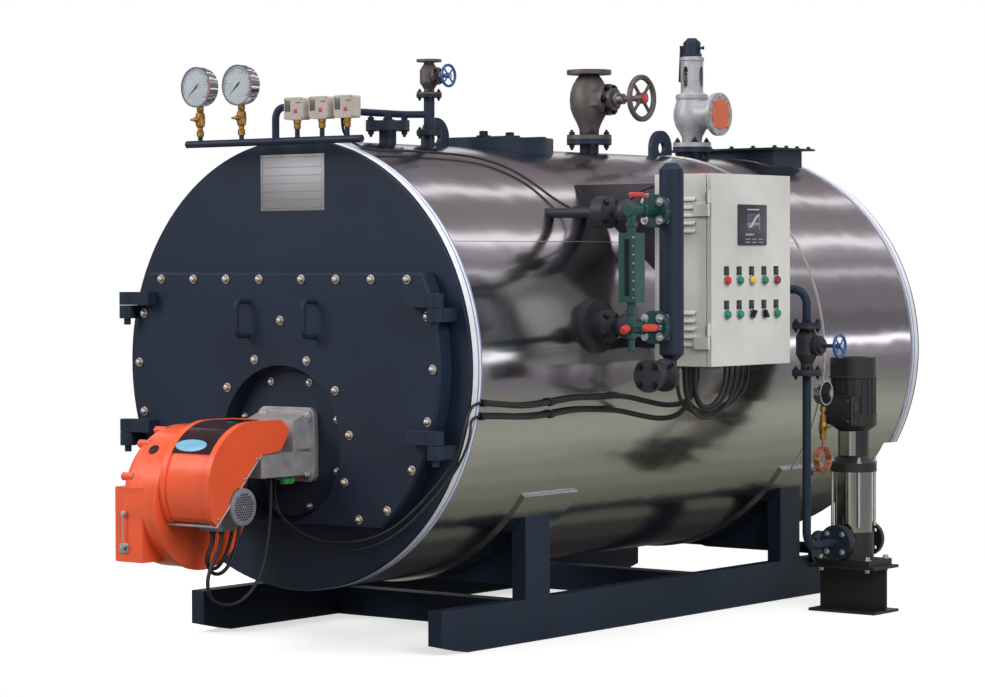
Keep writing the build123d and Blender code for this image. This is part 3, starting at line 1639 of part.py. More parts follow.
save("spare_nozzle", spare_nozzle())
save("front_lug", lifting_lug(lug_front_y))
save("rear_lug", lifting_lug(lug_rear_y))
save("vent_valve", vent_valve())
save(
    "vent_wheel",
    handwheel((vent_x + vent_reach, vent_y, vent_stem_z), vent_wheel_radius, vent_flange_radius),
)
save("manhole_collar", manhole_collar())
save("manhole_cover", manhole_cover())
save("steam_valve", steam_valve())
save(
    "steam_wheel", handwheel((steam_reach, steam_y, steam_stem_z), steam_wheel_radius, steam_flange_radius),
)
save("safety_valve", safety_valve())
save("safety_cap", safety_cap())
save("flue_box", flue_box())

save("level_column", level_column())
save("level_branches", column_branch(upper_branch_z, False), column_branch(lower_branch_z, True))
save("gauge_cocks", gauge_cock(upper_branch_z, -1), gauge_cock(lower_branch_z, 1))
save("upper_lever", upper_lever())
save("lower_lever", lower_lever())
save("gauge_glass", gauge_glass())
save("drain_valve", drain_valve())

save("cabinet", cabinet())
save("cabinet_door", cabinet_door())
save("panel_controls", *panel_controls())
save("cabinet_brackets", *cabinet_brackets())

save("feed_pipe", *feed_pipe())
save(
    "feed_valve",
    globe_valve(feed_x, feed_y, feed_valve_z, feed_valve_top, feed_stem_z, feed_flange_radius, feed_reach),
)
save(
    "feed_wheel",
    handwheel((feed_x + feed_reach, feed_y, feed_stem_z), feed_wheel_radius, feed_flange_radius),
)
save("feed_gauge", feed_gauge())
save("pump_stand", pump_stand())
save("pump_base", pump_base())
save("pump_sleeve", pump_sleeve())
save("pump_head", pump_head())
save("pump_motor", pump_motor())
save("blow_down_pipe", blow_down_pipe())

save(
    "jacket_conduits", jacket_conduit(upper_conduit, upper_conduit_end),
    jacket_conduit(lower_conduit, lower_conduit_end),
)
save("burner_leads", burner_lead(upper_lead, upper_conduit), burner_lead(lower_lead, lower_conduit))
save("burner_cables", *[cord(route, cable_radius) for route in burner_cables])
loops = [cabinet_loop(x, left_y, right_y, low_z) for x, left_y, right_y, low_z in loop_places]
save("cabinet_cables", *loops, cord(top_cable, lead_radius))
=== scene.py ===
import json
from math import cos, pi, radians, sin

import bmesh
import bpy
from mathutils import Matrix, Vector

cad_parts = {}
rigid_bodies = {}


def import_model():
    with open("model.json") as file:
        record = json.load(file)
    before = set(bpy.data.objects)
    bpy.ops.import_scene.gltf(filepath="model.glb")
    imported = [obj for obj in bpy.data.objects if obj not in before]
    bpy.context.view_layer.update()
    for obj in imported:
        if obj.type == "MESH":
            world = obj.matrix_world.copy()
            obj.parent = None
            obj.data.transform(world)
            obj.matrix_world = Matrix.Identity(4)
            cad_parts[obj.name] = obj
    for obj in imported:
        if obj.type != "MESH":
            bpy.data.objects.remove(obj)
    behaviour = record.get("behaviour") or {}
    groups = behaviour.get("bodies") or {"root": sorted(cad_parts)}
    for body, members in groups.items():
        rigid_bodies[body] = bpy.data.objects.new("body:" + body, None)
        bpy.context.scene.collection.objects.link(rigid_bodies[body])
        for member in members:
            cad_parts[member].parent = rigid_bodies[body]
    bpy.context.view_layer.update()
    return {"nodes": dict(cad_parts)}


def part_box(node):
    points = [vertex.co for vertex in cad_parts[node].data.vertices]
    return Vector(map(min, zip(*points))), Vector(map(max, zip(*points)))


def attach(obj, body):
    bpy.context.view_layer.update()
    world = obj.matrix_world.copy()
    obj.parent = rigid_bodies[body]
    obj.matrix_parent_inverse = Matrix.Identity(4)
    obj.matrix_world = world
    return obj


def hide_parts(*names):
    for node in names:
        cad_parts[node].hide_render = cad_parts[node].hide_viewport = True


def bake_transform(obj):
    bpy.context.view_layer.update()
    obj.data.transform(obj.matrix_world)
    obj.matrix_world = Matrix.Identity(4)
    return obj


for leftover in list(bpy.data.objects):
    bpy.data.objects.remove(leftover)
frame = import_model()

# Studio: a pale floor that takes the shadow and runs out to white, soft light from above and both sides.
# Long grey cards stand round the boiler and lie beside it, seen only as reflections in its metal.
plate_low, plate_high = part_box("front_plate")
front_y = plate_low.y
axis_z = (plate_low.z + plate_high.z) / 2
shell_radius = (plate_high.z - plate_low.z) / 2


def colour(hex_value):
    """sRGB hex to the linear colour that the shaders take."""
    parts = [int(hex_value[i : i + 2], 16) / 255 for i in (1, 3, 5)]
    linear = [p / 12.92 if p <= 0.04045 else ((p + 0.055) / 1.055) ** 2.4 for p in parts]
    return (*linear, 1.0)


def node(tree, kind, links=None, **settings):
    """Adds a shader node, sets its options, and links or sets its inputs."""
    added = tree.nodes.new(kind)
    for option, value in settings.items():
        setattr(added, option, value)
    for socket, source in (links or {}).items():
        if isinstance(source, bpy.types.NodeSocket):
            tree.links.new(source, added.inputs[socket])
        else:
            added.inputs[socket].default_value = source
    return added


def blank_material(name):
    """A new material with an empty node tree."""
    material = bpy.data.materials.new(name)
    material.use_nodes = True
    material.node_tree.nodes.clear()
    return material, material.node_tree


def mark(x, y, z):
    """A place in millimetres, with y measured back from the front plate's face, in frame metres."""
    return Vector((x / 1000, front_y + y / 1000, z / 1000))


camera_place = Vector((7.299, -9.119, 1.409))
camera_yaw, camera_pitch, camera_roll = radians(37.88), radians(-1.65), radians(-0.16)
camera_lens = 109.28
view = bpy.data.cameras.new("view")
view.sensor_width = 36
view.lens = camera_lens
view.clip_end = 100
camera = bpy.data.objects.new("view", view)
bpy.context.scene.collection.objects.link(camera)
camera.matrix_world = (
    Matrix.Translation(camera_place)
    @ Matrix.Rotation(camera_yaw, 4, "Z")
    @ Matrix.Rotation(pi / 2 + camera_pitch, 4, "X")
    @ Matrix.Rotation(camera_roll, 4, "Z")
)
bpy.context.scene.camera = camera
bpy.context.scene.view_settings.view_transform = "Standard"


def seen_rays(tree):
    """One for rays that show the background: straight to the camera, mirrored, or through glass."""
    ray = node(tree, "ShaderNodeLightPath").outputs
    direct = node(
        tree, "ShaderNodeMath", {0: ray["Is Camera Ray"], 1: ray["Is Glossy Ray"]}, operation="MAXIMUM"
    )
    return node(
        tree, "ShaderNodeMath", {0: direct.outputs[0], 1: ray["Is Transmission Ray"]}, operation="MAXIMUM"
    ).outputs[0]


world = bpy.data.worlds.new("studio")
bpy.context.scene.world = world
world.use_nodes = True
world.node_tree.nodes.clear()
world_fill = 0.45
strength = node(
    world.node_tree,
    "ShaderNodeMapRange",
    {"Value": seen_rays(world.node_tree), "To Min": world_fill, "To Max": 1.0},
)
pale = node(
    world.node_tree,
    "ShaderNodeBackground",
    {"Color": colour("#ffffff"), "Strength": strength.outputs[0]},
)
node(world.node_tree, "ShaderNodeOutputWorld", {"Surface": pale.outputs[0]})


def floor_paint():
    """Pale matt floor: the shadow shows close to the boiler, and further off it is plain white."""
    material, tree = blank_material("studio_floor")
    fade_middle, fade_near, fade_far = (0.2, 0.5, 0.0), 1.5, 2.9
    spot = node(tree, "ShaderNodeNewGeometry")
    reach = node(
        tree, "ShaderNodeVectorMath", {0: spot.outputs["Position"], 1: fade_middle}, operation="DISTANCE"
    )
    fade = node(
        tree,
        "ShaderNodeMapRange",
        {"Value": reach.outputs["Value"], "From Min": fade_near, "From Max": fade_far},
    )
    matt = node(tree, "ShaderNodeBsdfDiffuse", {"Color": colour("#c9c9c6")})
    glow = node(tree, "ShaderNodeEmission", {"Color": colour("#ffffff"), "Strength": 0.62})
    close = node(tree, "ShaderNodeAddShader", {0: matt.outputs[0], 1: glow.outputs[0]})
    white = node(tree, "ShaderNodeEmission", {"Color": colour("#ffffff"), "Strength": 1.0})
    shown = node(tree, "ShaderNodeMixShader", {0: fade.outputs[0], 1: close.outputs[0], 2: white.outputs[0]})
    bounce = node(tree, "ShaderNodeBsdfDiffuse", {"Color": colour("#77777a")})
    mixed = node(
        tree, "ShaderNodeMixShader", {0: seen_rays(tree), 1: bounce.outputs[0], 2: shown.outputs[0]}
    )
    node(tree, "ShaderNodeOutputMaterial", {"Surface": mixed.outputs[0]})
    return material


floor_half = 30.0
floor_mesh = bpy.data.meshes.new("floor")
corners = [(-1, -1), (1, -1), (1, 1), (-1, 1)]
floor_mesh.from_pydata([(x * floor_half, y * floor_half, 0) for x, y in corners], [], [(0, 1, 2, 3)])
floor_mesh.materials.append(floor_paint())
floor = bpy.data.objects.new("floor", floor_mesh)
bpy.context.scene.collection.objects.link(floor)


def soft_light(name, place, aim, size, power, mirrored):
    """A square softbox pointed at the object, seen or not seen in its gloss."""
    lamp = bpy.data.lights.new(name, "AREA")
    lamp.size = size
    lamp.energy = power
    holder = bpy.data.objects.new(name, lamp)
    bpy.context.scene.collection.objects.link(holder)
    holder.location = place
    holder.rotation_euler = (Vector(aim) - Vector(place)).to_track_quat("-Z", "Y").to_euler()
    holder.visible_glossy = mirrored


soft_light("key", (-5.4, -7.6, 6.3), aim=(0, -0.5, 1.0), size=4.6, power=560, mirrored=True)
soft_light("right", (8.0, -3.0, 5.5), aim=(0.5, 0.5, 1.0), size=5.0, power=470, mirrored=True)
soft_light("top", (0.5, 0.8, 8.5), aim=(0, 0.8, 1.0), size=6.0, power=420, mirrored=False)
soft_light("back", (-7.0, 6.0, 5.0), aim=(0, 0.8, 1.0), size=5.0, power=300, mirrored=False)


def card(name, corners, shade, strength):
    """An unlit card that only mirrors see."""
    material, tree = blank_material(name)
    glow = node(tree, "ShaderNodeEmission", {"Color": colour(shade), "Strength": strength})
    node(tree, "ShaderNodeOutputMaterial", {"Surface": glow.outputs[0]})
    mesh = bpy.data.meshes.new(name)
    mesh.from_pydata(corners, [], [(0, 1, 2, 3)])
    mesh.materials.append(material)
    sheet = bpy.data.objects.new(name, mesh)
    bpy.context.scene.collection.objects.link(sheet)
    sheet.visible_camera = False
    sheet.visible_diffuse = False
    sheet.visible_shadow = False
    sheet.visible_transmission = False


card_distance = 5.2
card_front, card_back = front_y - 12.0, front_y + 15.0
# Where each card starts and ends, in degrees up from level on the right, its grey and its strength. The grey
# cards are painted reflection bands and the brighter white ones painted highlight streaks on the metal.
card_spans = [
    (-14, -6, "#8e8a90", 1.0),
    (-6, 1.5, "#a9a6ad", 1.0),
    (1.5, 5.5, "#ffffff", 2.6),
    (5.5, 20, "#79767c", 1.0),
    (20, 36, "#8d8a8f", 1.0),
    (36, 41, "#98949a", 1.0),
    (41, 44.5, "#f6f2f6", 1.25),
    (44.5, 52, "#9a969b", 1.0),
    (52, 60, "#b3aeb3", 1.0),
    (60, 66, "#fffcfe", 1.9),
    (66, 80, "#9d979b", 1.0),
    (80, 92.5, "#959094", 1.0),
    (92.5, 98, "#fffafc", 1.9),
    (98, 118, "#8f888d", 1.0),
    (118, 140, "#7d767b", 1.0),
    (140, 152, "#f2f2f4", 1.0),
    (152, 174, "#8d8a90", 1.0),
    (174, 194, "#a2a0a4", 1.0),
]
for number, (start, end, shade, level) in enumerate(card_spans):
    (x0, z0), (x1, z1) = [
        (cos(radians(a)) * card_distance, axis_z + sin(radians(a)) * card_distance) for a in (start, end)
    ]
    corners = [(x0, card_front, z0), (x0, card_back, z0), (x1, card_back, z1), (x1, card_front, z1)]
    card(f"card_{number}", corners, shade, level)

floor_card_height = 0.004
# Where each strip on the floor starts and ends, in metres out from the drum's axis, and its grey. The strips
# close to the drum are darkest: a painted shadow under the boiler, which its metal mirrors in place of the
# floor.
floor_card_spans = [
    (0.0, 0.2, "#2c2a2d"),
    (0.2, 0.42, "#3c3c38"),
    (0.42, 0.62, "#62635a"),
    (0.62, 0.78, "#7a7c6d"),
    (0.78, 0.95, "#8c8e7e"),
    (0.95, 1.2, "#9da08f"),
    (1.2, 1.45, "#acaf9f"),
    (1.45, 2.2, "#bbbeae"),
    (2.2, 2.8, "#a9aca0"),
    (2.8, 4.2, "#999990"),
    (4.2, 9.0, "#8f8d8d"),
]
for number, (start, end, shade) in enumerate(floor_card_spans):
    for side, hand in ((-1, "left"), (1, "right")):
        near, far = side * start, side * end
        spots = [(near, card_front), (far, card_front), (far, card_back), (near, card_back)]
        card(f"floor_card_{hand}_{number}", [(x, y, floor_card_height) for x, y in spots], shade, 1.0)


# Skid and saddles: welded steel sections in navy alkyd enamel, sprayed on and a little rubbed at
# the edges. The rails carry the saddles' posts, and the posts carry pads wrapped under the drum.
def toned(tree, hue, pattern, low, high):
    """A colour that a pattern darkens and lightens, from one share of it to another."""
    tone = node(
        tree,
        "ShaderNodeMapRange",
        {"Value": pattern, "From Min": 0.3, "From Max": 0.7, "To Min": low, "To Max": high},
    )
    tinted = node(
        tree,
        "ShaderNodeMix",
        {"Factor": 1.0, 6: colour(hue), 7: tone.outputs[0]},
        data_type="RGBA",
        blend_type="MULTIPLY",
    )
    return tinted.outputs[2]


def enamel(name, hue, roughness, rub_hue, peel=0.12, shine=0.5):
    """Sprayed enamel: even colour with soft patches, orange peel and paler rubbed edges."""
    material, tree = blank_material(name)
    spot = node(tree, "ShaderNodeTexCoord").outputs["Object"]
    patch_size, scuff_size, peel_size, edge_size = 0.35, 0.03, 0.004, 0.0025
    patches = node(
        tree,
        "ShaderNodeTexNoise",
        {"Vector": spot, "Scale": 1 / patch_size, "Detail": 4.0, "Roughness": 0.6},
    )
    tinted = toned(tree, hue, patches.outputs[0], 0.86, 1.12)
    rounded = node(tree, "ShaderNodeBevel", {"Radius": edge_size}, samples=4)
    flat = node(tree, "ShaderNodeNewGeometry")
    bend = node(
        tree,
        "ShaderNodeVectorMath",
        {0: rounded.outputs[0], 1: flat.outputs["Normal"]},
        operation="DOT_PRODUCT",
    )
    rub = node(
        tree,
        "ShaderNodeMapRange",
        {
            "Value": bend.outputs["Value"], "From Min": 0.995, "From Max": 0.86, "To Min": 0.0,
            "To Max": 0.75,
        },
    )
    scuffs = node(tree, "ShaderNodeTexNoise", {"Vector": spot, "Scale": 1 / scuff_size, "Detail": 5.0})
    worn = node(tree, "ShaderNodeMath", {0: rub.outputs[0], 1: scuffs.outputs[0]}, operation="MULTIPLY")
    painted = node(
        tree,
        "ShaderNodeMix",
        {"Factor": worn.outputs[0], 6: tinted, 7: colour(rub_hue)},
        data_type="RGBA",
    )
    peel_noise = node(tree, "ShaderNodeTexNoise", {"Vector": spot, "Scale": 1 / peel_size, "Detail": 1.0})
    skin = node(
        tree,
        "ShaderNodeBump",
        {
            "Strength": peel,
            "Distance": peel_size / 6,
            "Height": peel_noise.outputs[0],
            "Normal": rounded.outputs[0],
        },
    )
    gloss = node(
        tree,
        "ShaderNodeMapRange",
        {"Value": scuffs.outputs[0], "To Min": roughness - 0.06, "To Max": roughness + 0.1},
    )
    paint = node(
        tree,
        "ShaderNodeBsdfPrincipled",
        {
            "Base Color": painted.outputs[2],
            "Roughness": gloss.outputs[0],
            "Normal": skin.outputs[0],
            "IOR": 1.5,
            "Specular IOR Level": shine,
        },
    )
    node(tree, "ShaderNodeOutputMaterial", {"Surface": paint.outputs[0]})
    return material


def dress(material, *names):
    """Gives CAD pieces their finish."""
    for name in names:
        mesh = frame["nodes"][name].data
        mesh.materials.clear()
        mesh.materials.append(material)


navy_enamel = enamel("navy_alkyd_enamel", "#1f2b3d", roughness=0.4, rub_hue="#415065", shine=0.25)
dress(navy_enamel, "left_rail", "right_rail", "cross_members", "front_saddle", "rear_saddle")


# Drum and smokebox: rolled boiler plate behind the door, sooted by the flue gas. The tube plate's
# holes take the fire tubes, and the furnace is the large hole in line with the burner.
def sooted_steel():
    """Mill-scaled steel under soot: nearly black, dry, with a browner bloom."""
    material, tree = blank_material("sooted_boiler_plate")
    spot = node(tree, "ShaderNodeTexCoord").outputs["Object"]
    bloom_size = 0.12
    bloom = node(
        tree,
        "ShaderNodeTexNoise",
        {"Vector": spot, "Scale": 1 / bloom_size, "Detail": 6.0, "Roughness": 0.7},
    )
    ramp = node(tree, "ShaderNodeValToRGB", {"Fac": bloom.outputs[0]})
    ramp.color_ramp.elements[0].position = 0.35
    ramp.color_ramp.elements[0].color = colour("#1f1d1b")
    ramp.color_ramp.elements[1].position = 0.7
    ramp.color_ramp.elements[1].color = colour("#4a423b")
    scale = node(tree, "ShaderNodeBump", {"Strength": 0.35, "Distance": 0.002, "Height": bloom.outputs[0]})
    soot = node(
        tree,
        "ShaderNodeBsdfPrincipled",
        {"Base Color": ramp.outputs[0], "Roughness": 0.85, "Normal": scale.outputs[0]},
    )
    node(tree, "ShaderNodeOutputMaterial", {"Surface": soot.outputs[0]})
    return material


dress(sooted_steel(), "drum", "smokebox")


# Jacket: bright stainless sheet wrapped round the insulation, in two lengths that meet under a raised band.
# A pale bead seals that joint and the lap along the side. The grain runs round the drum, so reflections
# stretch along it, and pads of the same sheet lie on the saddles.
def bright_sheet(name, hue, roughness, around):
    """Cold-rolled stainless: soft long reflections, faint grain and the slow waviness of thin sheet."""
    material, tree = blank_material(name)
    spot = node(tree, "ShaderNodeTexCoord").outputs["Object"]
    grain_width, grain_length, wave_size = 0.0015, 0.06, 0.45
    fine, long = 1 / grain_width, 1 / grain_length
    across = {"X": (fine, long, long), "Y": (long, fine, long), "Z": (long, long, fine)}[around]
    stretched = node(tree, "ShaderNodeMapping", {"Vector": spot, "Scale": across})
    grain = node(tree, "ShaderNodeTexNoise", {"Vector": stretched.outputs[0], "Scale": 1.0, "Detail": 2.0})
    waves = node(tree, "ShaderNodeTexNoise", {"Vector": spot, "Scale": 1 / wave_size, "Detail": 2.0})
    tinted = toned(tree, hue, grain.outputs[0], 0.93, 1.05)
    dull = node(
        tree,
        "ShaderNodeMapRange",
        {
            "Value": grain.outputs[0],
            "From Min": 0.3,
            "From Max": 0.7,
            "To Min": roughness - 0.03,
            "To Max": roughness + 0.04,
        },
    )
    wavy = node(tree, "ShaderNodeBump", {"Strength": 0.35, "Distance": 0.02, "Height": waves.outputs[0]})
    tangent = node(tree, "ShaderNodeTangent", direction_type="RADIAL", axis=around)
    sheet = node(
        tree,
        "ShaderNodeBsdfPrincipled",
        {
            "Base Color": tinted,
            "Metallic": 1.0,
            "Roughness": dull.outputs[0],
            "Anisotropic": 0.5,
            "Anisotropic Rotation": 0.25,
            "Tangent": tangent.outputs[0],
            "Normal": wavy.outputs[0],
        },
    )
    node(tree, "ShaderNodeOutputMaterial", {"Surface": sheet.outputs[0]})
    return material


jacket_sheet = bright_sheet("cold_rolled_stainless", "#bdbabd", roughness=0.15, around="Y")
dress(jacket_sheet, "jacket")


def place(name, bm, material, body, slot, sharp=32):
    """Turns a bmesh into a piece that rides on a body, smooth but for its sharp edges."""
    bmesh.ops.recalc_face_normals(bm, faces=bm.faces)
    mesh = bpy.data.meshes.new(name)
    bm.to_mesh(mesh)
    bm.free()
    mesh.shade_smooth()
    mesh.set_sharp_from_angle(angle=radians(sharp))
    mesh.materials.append(material)
    piece = bpy.data.objects.new(name, mesh)
    bpy.context.scene.collection.objects.link(piece)
    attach(piece, body)
    return piece


def loft(bm, rows, whole=False):
    """Adds a skin through rows of like places to a mesh, its two ends closed unless it comes round whole."""
    made = [[bm.verts.new(spot) for spot in row] for row in rows]
    for row, follow in zip(made, made[1:] + (made[:1] if whole else [])):
        for side in range(len(row)):
            bm.faces.new((row[side - 1], row[side], follow[side], follow[side - 1]))
    if not whole:
        bm.faces.new(made[0])
        bm.faces.new(made[-1])


def hoop(bm, inner, outer, front, back, start=0, end=360, steps=192):
    """Adds a band round the drum's axis, from one angle to another, to a mesh."""
    whole = end - start == 360
    corners = [(inner, front), (outer, front), (outer, back), (inner, back)]
    rows = []
    for step in range(steps + (0 if whole else 1)):
        angle = radians(start + (end - start) * step / steps)
        rows.append([(r * cos(angle), y, axis_z + r * sin(angle)) for r, y in corners])
    loft(bm, rows, whole)


def worked_metal(name, hue, roughness, mottle=0.12):
    """Plated or machined metal: clean reflections with a faint mottle of handling."""
    material, tree = blank_material(name)
    spot = node(tree, "ShaderNodeTexCoord").outputs["Object"]
    mottle_size = 0.012
    marks = node(tree, "ShaderNodeTexNoise", {"Vector": spot, "Scale": 1 / mottle_size, "Detail": 5.0})
    tinted = toned(tree, hue, marks.outputs[0], 1 - mottle, 1 + mottle)
    dull = node(
        tree,
        "ShaderNodeMapRange",
        {"Value": marks.outputs[0], "To Min": roughness - 0.08, "To Max": roughness + 0.08},
    )
    metal = node(
        tree,
        "ShaderNodeBsdfPrincipled",
        {"Base Color": tinted, "Metallic": 1.0, "Roughness": dull.outputs[0]},
    )
    node(tree, "ShaderNodeOutputMaterial", {"Surface": metal.outputs[0]})
    return material


joint_y = mark(0, 2365, 0).y
joint_half, joint_rise, joint_sink = 0.012, 0.004, 0.002
bm = bmesh.new()
hoop(bm, shell_radius - joint_sink, shell_radius + joint_rise, joint_y - joint_half, joint_y + joint_half)
place("jacket_joint", bm, jacket_sheet, "boiler", "bright_sheet")

seam_angle, seam_width, seam_rise = 33.0, 0.14, 0.0012
seam_front, seam_back = mark(0, 58, 0).y, joint_y - joint_half
bead_width, bead_rise = 0.005, 0.0005
pale_sealant = worked_metal("pale_sealed_lap", "#e3e0d9", roughness=0.45, mottle=0.06)
bm = bmesh.new()
seam_end = seam_angle + seam_width
hoop(bm, shell_radius, shell_radius + seam_rise, seam_front, seam_back, seam_angle, seam_end, steps=1)
hoop(bm, shell_radius, shell_radius + joint_rise + bead_rise, seam_back - bead_width, seam_back)
place("jacket_lap", bm, pale_sealant, "boiler", "bright_sheet")

pad_rise, pad_sheet, pad_seat = 0.0104, 0.0012, 0.0004
pad_start, pad_end = -144.5, -35.5
bm = bmesh.new()
for saddle in ("front_saddle", "rear_saddle"):
    low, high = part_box(saddle)
    pad_outer = shell_radius + pad_rise + pad_sheet
    near, far = low.y - pad_sheet, high.y + pad_sheet
    hoop(bm, shell_radius + pad_seat, pad_outer, near, far, pad_start, pad_end, steps=48)
place("saddle_pads", bm, jacket_sheet, "boiler", "bright_sheet")


# Film trim at both ends of the jacket: a white self-adhesive band with two blue lines, stuck on the raised
# edge strips. The rear one stops at the step under the smoke outlet.
def moulded(name, hue, roughness=0.4):
    """Moulded plastic: even colour under a fine, slightly cloudy grain."""
    material, tree = blank_material(name)
    spot = node(tree, "ShaderNodeTexCoord").outputs["Object"]
    grain_size, cloud_size = 0.0012, 0.05
    grain = node(tree, "ShaderNodeTexNoise", {"Vector": spot, "Scale": 1 / grain_size, "Detail": 2.0})
    cloud = node(tree, "ShaderNodeTexNoise", {"Vector": spot, "Scale": 1 / cloud_size, "Detail": 3.0})
    tinted = toned(tree, hue, cloud.outputs[0], 0.93, 1.06)
    skin = node(
        tree, "ShaderNodeBump", {"Strength": 0.12, "Distance": grain_size / 4, "Height": grain.outputs[0]}
    )
    plastic = node(
        tree,
        "ShaderNodeBsdfPrincipled",
        {
            "Base Color": tinted,
            "Roughness": roughness,
            "Normal": skin.outputs[0],
            "IOR": 1.49,
        },
    )
    node(tree, "ShaderNodeOutputMaterial", {"Surface": plastic.outputs[0]})
    return material


white_film = moulded("white_vinyl_film", "#e9e9ee", roughness=0.3)
blue_film = moulded("blue_vinyl_film", "#7388b4", roughness=0.3)
jacket_low, jacket_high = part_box("jacket")
band_radius, band_sink, band_film, line_film = jacket_high.x, 0.002, 0.0006, 0.0005
band_width, line_width = 0.052, 0.006
line_places = (0.028, 0.045)
step_angle = -29.5
for end_name, edge, sense, start, end in (
    ("front", jacket_low.y, 1, 0, 360),
    ("rear", jacket_high.y, -1, step_angle, 180 - step_angle),
):
    bm = bmesh.new()
    near, far = sorted((edge, edge + sense * band_width))
    hoop(bm, band_radius - band_sink, band_radius + band_film, near, far, start, end)
    place(f"{end_name}_trim", bm, white_film, "boiler", "bright_sheet")
    bm = bmesh.new()
    for line in line_places:
        near, far = sorted((edge + sense * line, edge + sense * (line + line_width)))
        hoop(bm, band_radius, band_radius + band_film + line_film, near, far, start, end)
    place(f"{end_name}_trim_lines", bm, blue_film, "boiler", "bright_sheet")


# End plates: flat steel plates with cut edges in the same navy enamel. A bare aluminium data plate is
# riveted to the front one.
def lathe(bm, profile, origin, axis, steps=24):
    """Adds a turned shape to a mesh: (radius, height) points swung about an axis, its ends or bore closed."""
    turn = Vector((0, 0, 1)).rotation_difference(Vector(axis)).to_matrix()
    rings = []
    for radius, height in profile:
        count = steps if radius > 0 else 1
        angles = [2 * pi * (step + 0.5) / steps for step in range(count)]
        spots = [Vector((radius * cos(a), radius * sin(a), height)) for a in angles]
        rings.append([bm.verts.new(Vector(origin) + turn @ spot) for spot in spots])
    bands = list(zip(rings, rings[1:]))
    if profile[0][0] == profile[-1][0] > 0:
        bands.append((rings[-1], rings[0]))
    else:
        for ring in (rings[0], rings[-1]):
            if len(ring) > 2:
                bm.faces.new(ring)
    for low, high in bands:
        for step in range(steps):
            quad = [
                low[step % len(low)],
                low[(step + 1) % len(low)],
                high[(step + 1) % len(high)],
                high[step % len(high)],
            ]
            face = list(dict.fromkeys(quad))
            if len(face) > 2:
                bm.faces.new(face)


def slab(bm, low, high, bevel=0.0, segments=2):
    """Adds a box with rounded edges to a mesh."""
    low, high = Vector(low), Vector(high)
    made = bmesh.ops.create_cube(
        bm, size=1, matrix=Matrix.Translation((low + high) / 2) @ Matrix.Diagonal((*(high - low), 1))
    )
    if bevel:
        edges = list({edge for vert in made["verts"] for edge in vert.link_edges})
        bmesh.ops.bevel(bm, geom=edges, offset=bevel, segments=segments, profile=0.5, affect="EDGES")


dress(navy_enamel, "front_plate", "rear_plate", "hinge_lugs")
plate_aluminium = worked_metal("brushed_aluminium_plate", "#a3a2a5", roughness=0.5, mottle=0.05)
etched_ink = moulded("etched_grey_ink", "#6f6d73", roughness=0.5)
frontward, rightward, upward = (0, -1, 0), (1, 0, 0), (0, 0, 1)
name_half, name_bottom, name_top, name_thick = 155, 1600, 1806, 2.0
bm = bmesh.new()
slab(bm, mark(-name_half, -name_thick, name_bottom), mark(name_half, 0, name_top), bevel=0.0006)
place("data_plate", bm, plate_aluminium, "boiler", "bright_sheet")
border, border_line, ink_rise = 9, 1.6, 2.3
rule_low, rule_high = name_bottom + border, name_top - border
rule_left, rule_right = -name_half + border, name_half - border
bm = bmesh.new()
for x in (rule_left, rule_right - border_line):
    slab(bm, mark(x, -ink_rise, rule_low), mark(x + border_line, -name_thick, rule_high))
for share in (0, 0.16, 0.32, 0.48, 0.64, 0.8, 1):
    z = rule_low + share * (rule_high - rule_low - border_line)
    slab(bm, mark(rule_left, -ink_rise, z), mark(rule_right, -name_thick, z + border_line))
place("data_plate_rules", bm, etched_ink, "boiler", "bright_sheet")
rivet_radius, rivet_height, rivet_inset = 0.0035, 0.002, 6
rivet = [(rivet_radius, 0), (rivet_radius * 0.8, rivet_height * 0.7), (0, rivet_height)]
bm = bmesh.new()
for x in (-name_half + rivet_inset, name_half - rivet_inset):
    for z in (name_bottom + rivet_inset, name_top - rivet_inset):
        lathe(bm, rivet, mark(x, -name_thick, z), frontward, steps=12)
place("data_plate_rivets", bm, plate_aluminium, "boiler", "bright_sheet")


# Front door: a lined steel leaf in navy enamel with welded handles and hinge arms. Bright cap nuts on
# washers clamp it all round, and a ring of them holds the refractory round the burner.
dress(navy_enamel, "front_door", "door_hinges", "door_handles", "burner_plate")
cap_nut_steel = worked_metal("bright_steel_cap_nut", "#e2dcd4", roughness=0.3)


def cap_nuts(bm, spots, axis, radius):
    """Adds domed nuts on washers to a mesh."""
    shares = [(1.25, 0), (1.25, 0.18), (0.95, 0.2), (0.95, 0.62), (0.8, 0.98), (0.5, 1.2), (0, 1.28)]
    for spot in spots:
        lathe(bm, [(radius * r, radius * h) for r, h in shares], spot, axis, steps=16)


door_face = (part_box("front_door")[0].y - front_y) * 1000
axis_height = axis_z * 1000
rim_nut, plate_nut = 0.0135, 0.011
rim_circle, rim_angles = 715, (15, 0, -15, -30, -45)
spots = [
    mark(side * rim_circle * cos(radians(a)), door_face, axis_height + rim_circle * sin(radians(a)))
    for side in (-1, 1)
    for a in rim_angles
]
upper_row, upper_row_z, lower_pair, lower_pair_z = (103, 268, 433, 599), 1350, 373, 491
spots += [mark(side * x, door_face, upper_row_z) for side in (-1, 1) for x in upper_row]
spots += [mark(side * lower_pair, door_face, lower_pair_z) for side in (-1, 1)]
plate_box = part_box("burner_plate")
burner_z = (plate_box[0].z + plate_box[1].z) * 500
hole_circle, hole_angles, crown_nut_z = 332, (22.5, 52.5, 82.5, 112.5), 1200
spots += [
    mark(side * hole_circle * sin(radians(a)), door_face, burner_z + hole_circle * cos(radians(a)))
    for side in (-1, 1)
    for a in hole_angles
]
spots.append(mark(0, door_face, crown_nut_z))
bm = bmesh.new()
cap_nuts(bm, spots, frontward, rim_nut)
plate_face = (plate_box[0].y - front_y) * 1000
plate_circle, plate_count = 244, 8
spots = [
    mark(plate_circle * cos(radians(a)), plate_face, burner_z + plate_circle * sin(radians(a)))
    for a in (22.5 + 360 / plate_count * k for k in range(plate_count))
]
cap_nuts(bm, spots, frontward, plate_nut)
